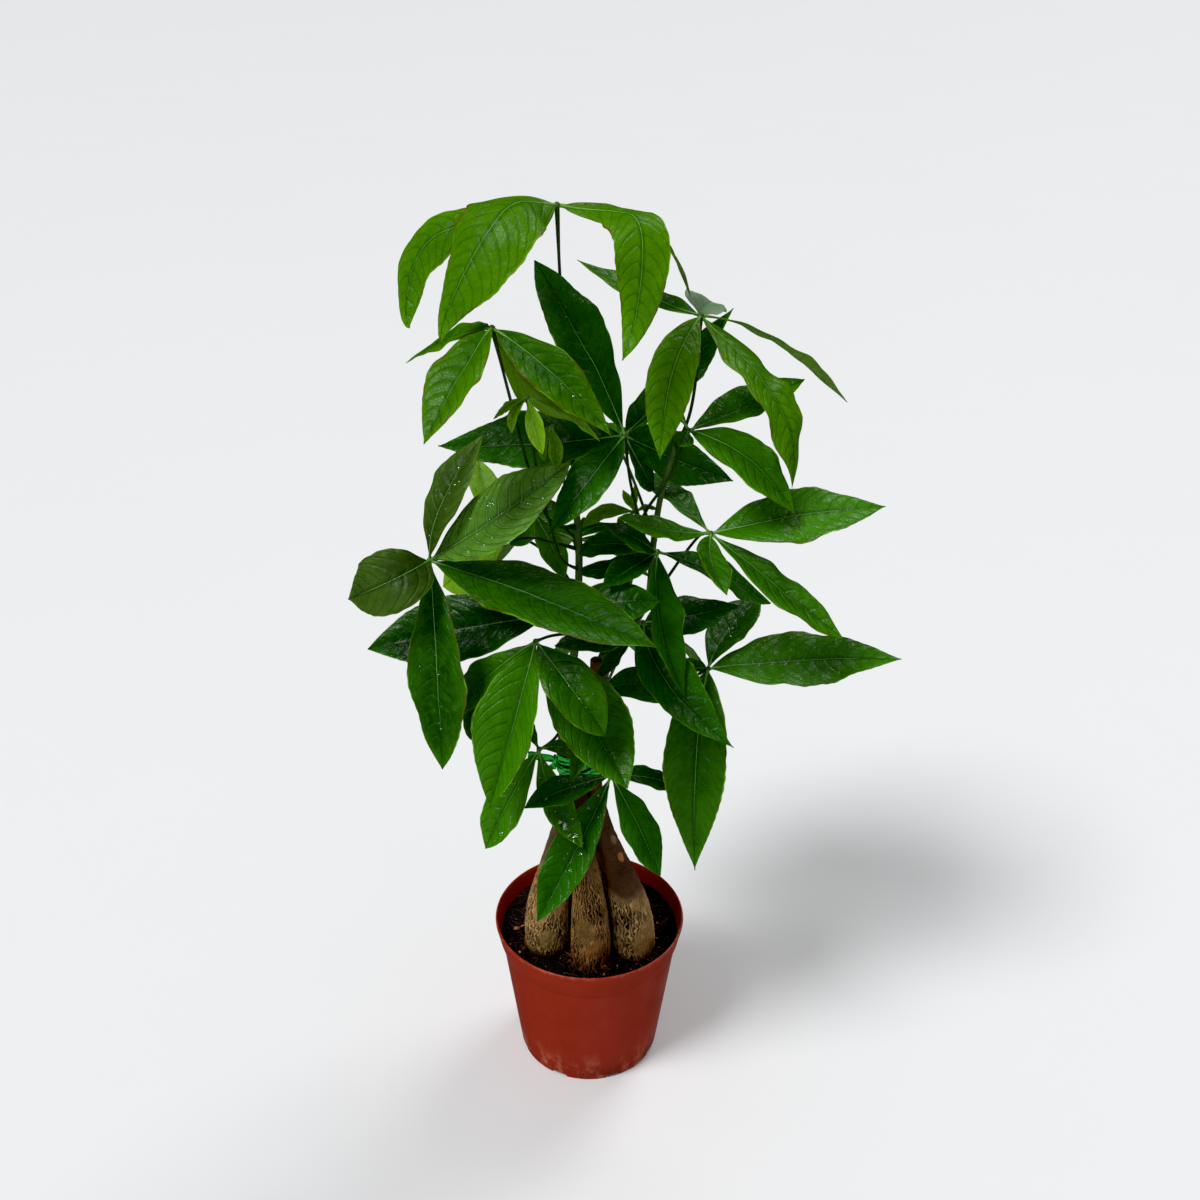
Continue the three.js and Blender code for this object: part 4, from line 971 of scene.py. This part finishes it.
    "leaf_low_inner": dict(tone="green", hub=(8, -35, 396), stalk=[
        (-10, -26, 386), (-3, -29, 389), (3, -33, 392)], leaflets=[
        blade(32, (0.1, -0.6, 0.8), 0, (37, -46, 409), (72, -33, 391), fold=15),
        blade(29, (-0.7, -0.3, 0.6), 0, (0, -67, 375), (-15, -83, 342), fold=14),
    ]),
    "leaf_low_left": dict(tone="green", hub=(-40, -60, 357), stalk=[
        (-22, -15, 352), (-28, -32, 350), (-36, -50, 353)], leaflets=[
        blade(37, (-0.5, -0.7, 0.5), 0.7, (-61, -79, 326), (-83, -85, 278), fold=14, widest=0.56),
        blade(17, (0.4, -0.4, 0.8), 0, (-22, -57, 357), (-1, -49, 344)),
        blade(32, (0.7, -0.5, 0.6), 0.6, (-30, -72, 322), (-5, -98, 290)),
        blade(12, (0.6, -0.5, 0.7), 0, (-46, -53, 366), (-53, -42, 380)),
    ]),
    "leaf_low_front": dict(tone="dark", hub=(17, -60, 332), stalk=[
        (-9, -25, 345), (2, -38, 338), (11, -51, 334)], leaflets=[
        blade(43, (-0.3, -0.8, 0.5), 0.6, (-6, -77, 282), (-41, -111, 226), fold=32),
        blade(28, (0.1, -0.2, 1), 0.3, (-17, -80, 334), (-50, -100, 329)),
        blade(35, (0.6, -0.6, 0.5), 0.5, (37, -74, 299), (58, -86, 253)),
        blade(25, (0.5, -0.1, 0.8), 0, (49, -40, 317), (74, -18, 292)),
    ]),
    "leaf_back_high": dict(tone="green", hub=(20, 75, 565), stalk=[
        (50, 7, 508), (44, 25, 520), (32, 50, 545)], leaflets=[
        blade(48, (-0.2, 0.3, 0.9), 0, (-5, 110, 565), (-35, 140, 535)),
        blade(52, (0, 0.3, 0.9), 0, (28, 125, 560), (30, 165, 520)),
        blade(45, (0.3, 0.2, 0.9), 0, (55, 100, 560), (90, 120, 525)),
        blade(36, (-0.4, 0, 0.9), 0, (-10, 75, 555), (-45, 80, 520)),
    ]),
    "leaf_back_middle": dict(tone="green", hub=(-15, 70, 480), stalk=[
        (-10, 0, 445), (-10, 20, 460), (-12, 48, 475)], leaflets=[
        blade(46, (-0.4, 0.3, 0.9), 0, (-50, 95, 475), (-85, 110, 435)),
        blade(52, (-0.1, 0.4, 0.9), 0, (-25, 120, 470), (-35, 155, 425)),
        blade(48, (0.3, 0.4, 0.9), 0, (15, 110, 475), (40, 140, 435)),
        blade(36, (0.4, 0, 0.9), 0, (20, 75, 470), (50, 80, 440)),
    ]),
    "leaf_back_low": dict(tone="dark", hub=(30, 70, 385), stalk=[
        (11, 6, 372), (16, 24, 374), (24, 48, 381)], leaflets=[
        blade(44, (0.4, 0.3, 0.9), 0, (70, 95, 375), (100, 105, 330)),
        blade(52, (0.1, 0.5, 0.9), 0, (38, 120, 375), (45, 150, 325)),
        blade(46, (-0.3, 0.4, 0.9), 0, (-5, 105, 375), (-30, 125, 330)),
    ]),
    "young_buds": dict(tone="pale", hub=(34, 8, 532), stalk=[(36, 0, 518), (37, 5, 526)], leaflets=[
        blade(15, (-0.2, -0.5, 0.9), 0, (10, 8, 532), (-7, 8, 519)),
        blade(9, (0, 0, 1), 0, (26, 0, 531), (20, -8, 528)),
        blade(9, (0.3, 0, 1), 0, (44, 14, 534), (54, 20, 528)),
        blade(7, (-0.3, -0.9, 0.2), 0.3, (29, 8, 541), (24, 6, 551)),
        blade(6, (0.2, -0.9, 0.2), 0.3, (33, 10, 541), (33, 12, 552)),
    ]),
}


leafShape = dict(
    thickness=0.5, start=1.4, rootWidth=2.6, tipWidth=0.7, step=2.0, veinGap=11.5, veinSlant=0.42, veinHook=0.8,
    quilt=0.34, dome=0.05, edgeWave=1.5, stalk=1.3, stalkEnds=1.9, hub=2.3, midrib=0.4, smallWidth=18,
    cornerLength=0.05,
)


def halfWidth(share, width, widest, shoulder):
    rise = 1.25 * widest / 0.55
    fall = rise * (1 - widest) / widest
    share = min(max(share, 0.0), 1.0)
    shape = share ** rise * (1 - share) ** fall / (widest ** rise * (1 - widest) ** fall)
    if share < widest:
        shape **= shoulder  # a low value fills out the half next to the stalk
    return max(shape * width / 2, lerp(leafShape["rootWidth"], leafShape["tipWidth"], share) / 2)


class Leaflet:
    # the surface of one leaflet: at(share along, -1 to 1 across) gives a place, the way up and the vein phase
    def __init__(self, hub, plan, seed):
        self.points = [Vector(hub), *[Vector(p) for p in plan["rib"]]]
        self.width = plan["width"]
        self.widest = plan.get("widest", 0.55)
        self.shoulder = plan.get("shoulder", 1.0)
        self.wave = plan.get("wave", 1.0)
        self.corners = plan.get("corners", [])  # share, side and reach in mm of a bluntly drawn out edge
        self.fold = math.radians(plan.get("fold", 4))
        self.face = Vector(plan["face"])
        self.shade = plan["shade"]
        chance = random.Random(seed)
        self.waves = [(chance.uniform(0, math.tau), chance.uniform(1.6, 2.6), chance.uniform(0, math.tau),
                       chance.uniform(3.4, 5.2)) for _ in range(2)]
        self.bend = chance.uniform(0, 50)
        self.table = [(0.0, 0.0)]
        last = self.points[0]
        for i in range(1, 61):
            here = self.rib(i / 60)
            self.table.append((self.table[-1][0] + (here - last).length, i / 60))
            last = here
        self.length = self.table[-1][0]
        self.veins = max(4, round(self.length / leafShape["veinGap"]))
        self.known = {}

    def rib(self, t):
        place = t * (len(self.points) - 1)
        out = Vector((0, 0, 0))
        for i, point in enumerate(self.points):
            out += point * math.prod((place - j) / (i - j) for j in range(len(self.points)) if j != i)
        return out

    def station(self, share):
        if share not in self.known:
            begin = leafShape["start"] / self.length
            t = between(self.table, lerp(begin, 1, share) * self.length)
            along = (self.rib(t + 0.001) - self.rib(t - 0.001)).normalized()
            side = along.cross(self.face).normalized()
            half = halfWidth(share, self.width, self.widest, self.shoulder)
            self.known[share] = (self.rib(t), side, side.cross(along), half)
        return self.known[share]

    def phase(self, share, across, half):
        reach = abs(across) * half / self.length
        hook = leafShape["veinHook"] * abs(across) ** 3 * half / self.length
        return self.veins * (share - leafShape["veinSlant"] * reach - hook) + (0.5 if across > 0 else 0.0)

    def at(self, share, across):
        middle, side, up, half = self.station(share)
        size = abs(across)
        phase = self.phase(share, across, half)
        wave1, rate1, wave2, rate2 = self.waves[0 if across < 0 else 1]
        for where, flank, reach in self.corners:
            if across * flank > 0:
                half += reach * size ** 3 * math.exp(-((share - where) / leafShape["cornerLength"]) ** 2)
        big = min(half / 20, 1.3)
        lift = size * half * math.sin(self.fold) * (1 if half > 3 else 0.4)
        lift += leafShape["dome"] * half * 4 * (size - size * size)
        ends = math.sin(math.pi * min(max(share, 0), 1)) ** 0.5
        lift += leafShape["edgeWave"] * self.wave * big * ends * size ** 2.4 * (
            math.sin(share * rate1 * math.tau + wave1) + 0.55 * math.sin(share * rate2 * math.tau + wave2))
        bulge = math.cos(math.tau * phase)
        lift -= leafShape["quilt"] * big * 0.5 * (bulge + 0.4) * math.sin(math.pi * min(size, 1) ** 0.8) ** 0.8
        lift += 1.2 * big * noise.noise(Vector((share * 3.1 + self.bend, across * 1.3, 0.0)))
        lift += 0.6 * big * self.wave * noise.noise(Vector((share * self.length / 17, across * half / 14, self.bend)))
        rough = 1 + 0.012 * math.sin(math.tau * (phase + 0.2))
        place = middle + side * (across * half * math.cos(self.fold) * rough) + up * lift
        return place, up, phase


def veinNodes(sheet, phase, across, width):
    # side veins, the raised cushions between them, the fine net, and the margin
    wobble = sheet.grain(130.0, 2.0, 0.5) * 0.26 - 0.13
    away = ((phase + wobble + 0.5).calc("FRACT") - 0.5).calc("ABSOLUTE")
    size = across.calc("ABSOLUTE")
    veins = 1 - away.calc("DIVIDE", width * (size * -0.45 + 1.0)).ease(0.3, 1.1)
    return (veins * size.ease(0.98, 0.72), away.ease(0.0, 0.2) * size.ease(1.0, 0.8),
            sheet.cells(360.0).ease(0.11, 0.0), size.ease(0.93, 0.99))


veinGroup = makeGroup("leafVeins", ("Phase", "Across", "Width"), ("Veins", "Relief", "Net", "Margin"), veinNodes)


def veinsOf(skin, width):
    return skin.group(veinGroup, Phase=skin.attribute("veinPhase"), Across=skin.attribute("across"), Width=width)


def makeLeafTop(name, look):
    skin = Skin(name, Roughness=look["rough"], Specular_IOR_Level=look["gloss"])
    veins = veinsOf(skin, 0.075)
    across = skin.attribute("across").calc("ABSOLUTE")
    cloud = skin.mottle(22.0, 2.4) * 0.6 - 0.3
    rimward = across.ease(0.35, 1.0) * 0.28
    tipward = skin.attribute("along").ease(0.78, 1.0) * 0.35
    # shade lightens or darkens each leaflet: partly its own tone, partly painted light and shadow
    tone = (skin.attribute("shade") * 0.5 + 0.42 + (cloud + rimward + tipward)).clamped()
    flecks = skin.grain(190.0, 4.0, 0.65).ease(0.52, 0.66)
    # the margin wanders between a reddish-brown line and a bright yellow-green rim, which is partly the rim's own
    # colour and partly a painted highlight on edges catching the light
    margin = skin.mix(skin.grain(60.0, 2.0, 0.5).ease(0.42, 0.58), look["margin"], look["edge"])
    colour = skin.over(
        skin.mix(tone, look["deep"], look["light"]),
        (veins["Net"] * 0.1, look["deep"]), (flecks * 0.22, look["light"]),
        # darker in the grooves beside the side veins and along the midrib: painted shade
        (veins["Relief"].ease(0.35, 0.0) * 0.3, look["deep"]), (across.ease(0.16, 0.02) * 0.6, look["deep"]),
        (veins["Veins"] * look["veinShare"], look["vein"]), (veins["Margin"] * look["marginShare"], margin))
    rough = skin.mottle(48.0, 1.6) * 0.16 + (look["rough"] - 0.08) + veins["Veins"] * 0.1
    lumps = skin.grain(110.0, 3.0, 0.5) * (across * 1.6 + 1.0)
    height = veins["Relief"] * look["relief"] + veins["Net"] * -0.05 + lumps
    return skin.finish(colour, rough, height, 0.0013, 0.9)


def makeLeafUnder(name, low, high):
    skin = Skin(name, Roughness=0.55, Specular_IOR_Level=0.3)
    veins = veinsOf(skin, 0.10)
    colour = skin.over(skin.mix(skin.mottle(30.0, 1.8), low, high),
                       (veins["Veins"] * 0.55, (150, 178, 96)), (veins["Net"] * 0.25, (120, 156, 84)))
    return skin.finish(colour, None, veins["Veins"] * 0.8 + veins["Net"] * 0.3, 0.0005, 0.8)


leafLooks = {
    "young": dict(deep=(20, 80, 0), light=(88, 148, 0), vein=(34, 92, 0), veinShare=0.1, relief=0.4,
                  margin=(112, 62, 20), edge=(120, 168, 20), marginShare=0.8, rough=0.33, gloss=0.14),
    "green": dict(deep=(8, 60, 0), light=(64, 132, 2), vein=(92, 156, 50), veinShare=0.14, relief=0.4,
                  margin=(96, 90, 24), edge=(126, 186, 36), marginShare=0.75, rough=0.3, gloss=0.24),
    "dark": dict(deep=(4, 44, 0), light=(42, 110, 2), vein=(64, 132, 36), veinShare=0.13, relief=0.32,
                 margin=(80, 70, 24), edge=(104, 168, 30), marginShare=0.7, rough=0.3, gloss=0.26),
    "pale": dict(deep=(40, 100, 2), light=(124, 176, 22), vein=(150, 190, 80), veinShare=0.24, relief=0.2,
                 margin=(110, 140, 40), edge=(140, 184, 60), marginShare=0.4, rough=0.36, gloss=0.15),
    "quilted": dict(deep=(12, 62, 2), light=(104, 160, 50), vein=(150, 194, 104), veinShare=0.3, relief=1.0,
                    margin=(96, 90, 24), edge=(126, 186, 36), marginShare=0.7, rough=0.34, gloss=0.24),
    "olive": dict(deep=(18, 46, 2), light=(78, 114, 26), vein=(104, 138, 60), veinShare=0.16, relief=0.5,
                  margin=(84, 66, 24), edge=(104, 150, 40), marginShare=0.5, rough=0.4, gloss=0.2),
    "dull": dict(deep=(74, 112, 66), light=(138, 166, 132), vein=(160, 186, 150), veinShare=0.2, relief=0.2,
                 margin=(90, 120, 70), edge=(150, 178, 130), marginShare=0.3, rough=0.5, gloss=0.2),
}
topSkins = {tone: makeLeafTop(f"leafTop_{tone}", look) for tone, look in leafLooks.items()}
underSkins = {
    "young": makeLeafUnder("leafUnder_young", (84, 142, 14), (124, 176, 36)),
    "green": makeLeafUnder("leafUnder_green", (54, 108, 22), (92, 146, 44)),
}
underSkins["pale"], underSkins["dark"] = underSkins["young"], underSkins["green"]
ribSkins = {
    "young": makeStemSkin("ribYoung", (90, 156, 40), (132, 188, 70), 0.36),
    "green": makeStemSkin("ribGreen", (94, 160, 62), (136, 198, 96), 0.36),
}
ribSkins["pale"], ribSkins["dark"] = ribSkins["young"], ribSkins["green"]
stalkSkin = makeStemSkin("stalkSkin", (22, 42, 12), (54, 84, 28), 0.4)
hubSkin = makeStemSkin("hubSkin", (52, 84, 30), (92, 126, 52), 0.5)
surfaces = {}


def addBlade(bm, layers, leaflet, topSlot):
    long = max(8, min(72, round(leaflet.length / leafShape["step"])))
    wide = 14 if leaflet.width > 34 else 10 if leaflet.width > leafShape["smallWidth"] else 6
    made = bmesh.ops.create_grid(bm, x_segments=long, y_segments=wide, size=1)["verts"]
    top = list(facesAt(made))
    for vert in made:
        share, across = round((vert.co.x + 1) / 2 * long) / long, vert.co.y
        place, _, phase = leaflet.at(share, across)
        vert.co = place * mm
        for name, value in dict(veinPhase=phase, across=across, along=share, shade=leaflet.shade).items():
            vert[layers[name]] = value
    shell = bmesh.ops.extrude_face_region(bm, geom=top, use_keep_orig=True)
    for vert in newParts(shell, bmesh.types.BMVert):
        up = leaflet.station(round(vert[layers["along"]] * long) / long)[2]
        vert.co -= up * leafShape["thickness"] * (1 - 0.45 * vert[layers["across"]] ** 2) * mm
    upright = facesAt(made) - set(top)
    under = set(newParts(shell, bmesh.types.BMFace)) - upright
    for faces, slot in ((top, topSlot), (under, 1)):
        for face in faces:
            face.material_index = slot
    bmesh.ops.recalc_face_normals(bm, faces=top + list(under) + list(upright))
    for face in upright:
        for edge in face.edges:
            if any(other not in upright for other in edge.link_faces):
                edge.smooth = False
    midrib = leafShape["midrib"]
    table = [(0, 1.35), (0.05, 1.0), (0.14, midrib * 1.15), (0.6, midrib * 0.75), (1, 0.16)]
    slim = min(1, leaflet.width / 30 + 0.25)
    places, radii = [leaflet.points[0] * mm], [1.5 * mm]
    for share in [i / (long // 2) for i in range(long // 2 + 1)]:
        place, up, _ = leaflet.at(share, 0)
        places.append((place - up * (leafShape["thickness"] * 0.5 - 0.06)) * mm)
        radii.append(between(table, share) * slim * mm)
    addTube(bm, places, radii, 6, 2)


def makeLeaf(node, plan):
    bm = bmesh.new()
    layers = {name: bm.verts.layers.float.new(name) for name in ("veinPhase", "across", "along", "shade")}
    leaflets, tone = plan["leaflets"], plan["tone"]
    surfaces[node] = [Leaflet(plan["hub"], leaflet, f"{node}{number}") for number, leaflet in enumerate(leaflets)]
    ownSkins = sorted({leaflet["skin"] for leaflet in leaflets if "skin" in leaflet})
    for leaflet, surface in zip(leaflets, surfaces[node]):
        addBlade(bm, layers, surface, 5 + ownSkins.index(leaflet["skin"]) if "skin" in leaflet else 0)
    small = 0.8 if tone == "pale" and node != "leaf_left_back" else 1.0
    stalk, ends = leafShape["stalk"], leafShape["stalkEnds"]
    table = [(0, ends), (0.07, 1.7), (0.16, stalk), (0.88, stalk * 0.86), (1, ends)]
    places = smoothPath([*plan["stalk"], plan["hub"]], 7)
    radii = [between(table, i / (len(places) - 1)) * small * mm for i in range(len(places))]
    addTube(bm, places, radii, 10, 3)
    hub = bmesh.ops.create_icosphere(bm, subdivisions=2, radius=leafShape["hub"] * small * mm,
                                     matrix=Matrix.Translation(Vector(plan["hub"]) * mm))["verts"]
    for face in facesAt(hub):
        face.material_index = 4
    materials = [topSkins[tone], underSkins[tone], ribSkins[tone], stalkSkin, hubSkin]
    materials += [topSkins[skin] for skin in ownSkins]
    finishPiece(f"{node}_grown", bm, materials, [node])


for node, plan in leaves.items():
    makeLeaf(node, plan)
print("stage 7 of 8: leaves")


# water drops: leaf, leaflet number, how many, share along from and to, across from and to, size in mm
dropPlan = [
    ("leaf_left_big", 4, 34, 0.3, 0.95, -0.85, 0.75, 1.5), ("leaf_left_big", 3, 14, 0.2, 0.8, -0.7, 0.7, 1.1),
    ("leaf_left_big", 1, 7, 0.35, 0.8, -0.6, 0.6, 0.9), ("leaf_right_low", 1, 16, 0.2, 0.9, -0.7, 0.7, 1.2),
    ("leaf_centre_front", 1, 14, 0.2, 0.9, -0.7, 0.7, 1.3), ("leaf_right_middle", 4, 12, 0.2, 0.8, -0.7, 0.7, 1.3),
    ("leaf_upper_left", 2, 4, 0.55, 0.75, -0.3, 0.4, 1.2), ("leaf_left_inner", 0, 8, 0.2, 0.8, -0.6, 0.6, 1.3),
    ("leaf_low_front", 0, 14, 0.1, 0.6, -0.7, 0.7, 1.4), ("leaf_low_front", 1, 18, 0.2, 0.9, -0.7, 0.7, 1.4),
    ("leaf_low_front", 0, 6, 0.42, 0.64, -0.4, 0.1, 3.6), ("leaf_low_left", 2, 10, 0.45, 0.95, -0.4, 0.5, 4.6),
    ("leaf_low_left", 0, 16, 0.2, 0.95, -0.7, 0.7, 1.3), ("leaf_low_left", 1, 12, 0.2, 0.9, -0.6, 0.6, 1.0),
    ("leaf_low_left", 2, 18, 0.15, 0.95, -0.7, 0.7, 1.6), ("leaf_front_low", 1, 8, 0.3, 0.8, -0.6, 0.6, 1.0),
]


largeDrop = 3
dropLooks = [  # small drops, then large ones: faces round and along, how flat, and where the glint ends
    dict(cells=(9, 6), flat=0.55, glint=0.84), dict(cells=(16, 10), flat=0.42, glint=0.92),
]


def makeDrops():
    chance = random.Random(5)
    water = Skin("waterDrop", Roughness=0.02, IOR=1.4, Transmission_Weight=1.0,
                 Coat_Weight=1.0, Coat_Roughness=0.14, Coat_IOR=2.0)
    water.finish(water.mix(water.grain(90.0), (0.95, 0.98, 0.96, 1), (1, 1, 1, 1)))
    # a pale cap on the faces turned towards the sky: painted reflection
    glint = Skin("waterGlint", Roughness=0.12, Specular_IOR_Level=0.6)
    glint.finish(glint.mix(glint.grain(240.0), (0.3, 0.46, 0.32, 1), (0.78, 0.86, 0.8, 1)))
    towards = Vector((-0.38, -0.42, 0.82))  # the bright sky that a drop mirrors
    bm = bmesh.new()
    for node, number, amount, from1, to1, from2, to2, size in dropPlan:
        leaflet, look = surfaces[node][number], dropLooks[size >= largeDrop]
        for _ in range(amount):
            share, across = chance.uniform(from1, to1), chance.uniform(from2, to2)
            place, up, _ = leaflet.at(share, across)
            ahead = leaflet.at(share + 0.02, across)[0] - place
            aside = leaflet.at(share, across + 0.05)[0] - place
            normal = ahead.cross(aside).normalized()
            if normal.dot(up) < 0:
                normal = -normal
            turn = normal.to_track_quat("Z", "Y").to_matrix().to_4x4()
            wide = size * chance.choice((0.35, 0.5, 0.7, 1.0)) * mm
            shape = Matrix.Diagonal((wide * chance.uniform(0.8, 1.5), wide, wide * look["flat"], 1))
            spin = Matrix.Rotation(chance.uniform(0, math.tau), 4, "Z")
            middle = (place + normal * 0.1) * mm
            made = bmesh.ops.create_uvsphere(bm, u_segments=look["cells"][0], v_segments=look["cells"][1], radius=1,
                                             matrix=Matrix.Translation(middle) @ turn @ spin @ shape)["verts"]
            for face in facesAt(made):
                facing = (face.calc_center_median() - middle).normalized().dot(towards)
                face.material_index = int(facing > look["glint"])
    drops = finishPiece("water_drops", bm, [water.material, glint.material])
    drops.visible_shadow = False  # glass would shade its leaf


makeDrops()
print("stage 8 of 8: water drops")


bpy.context.view_layer.update()
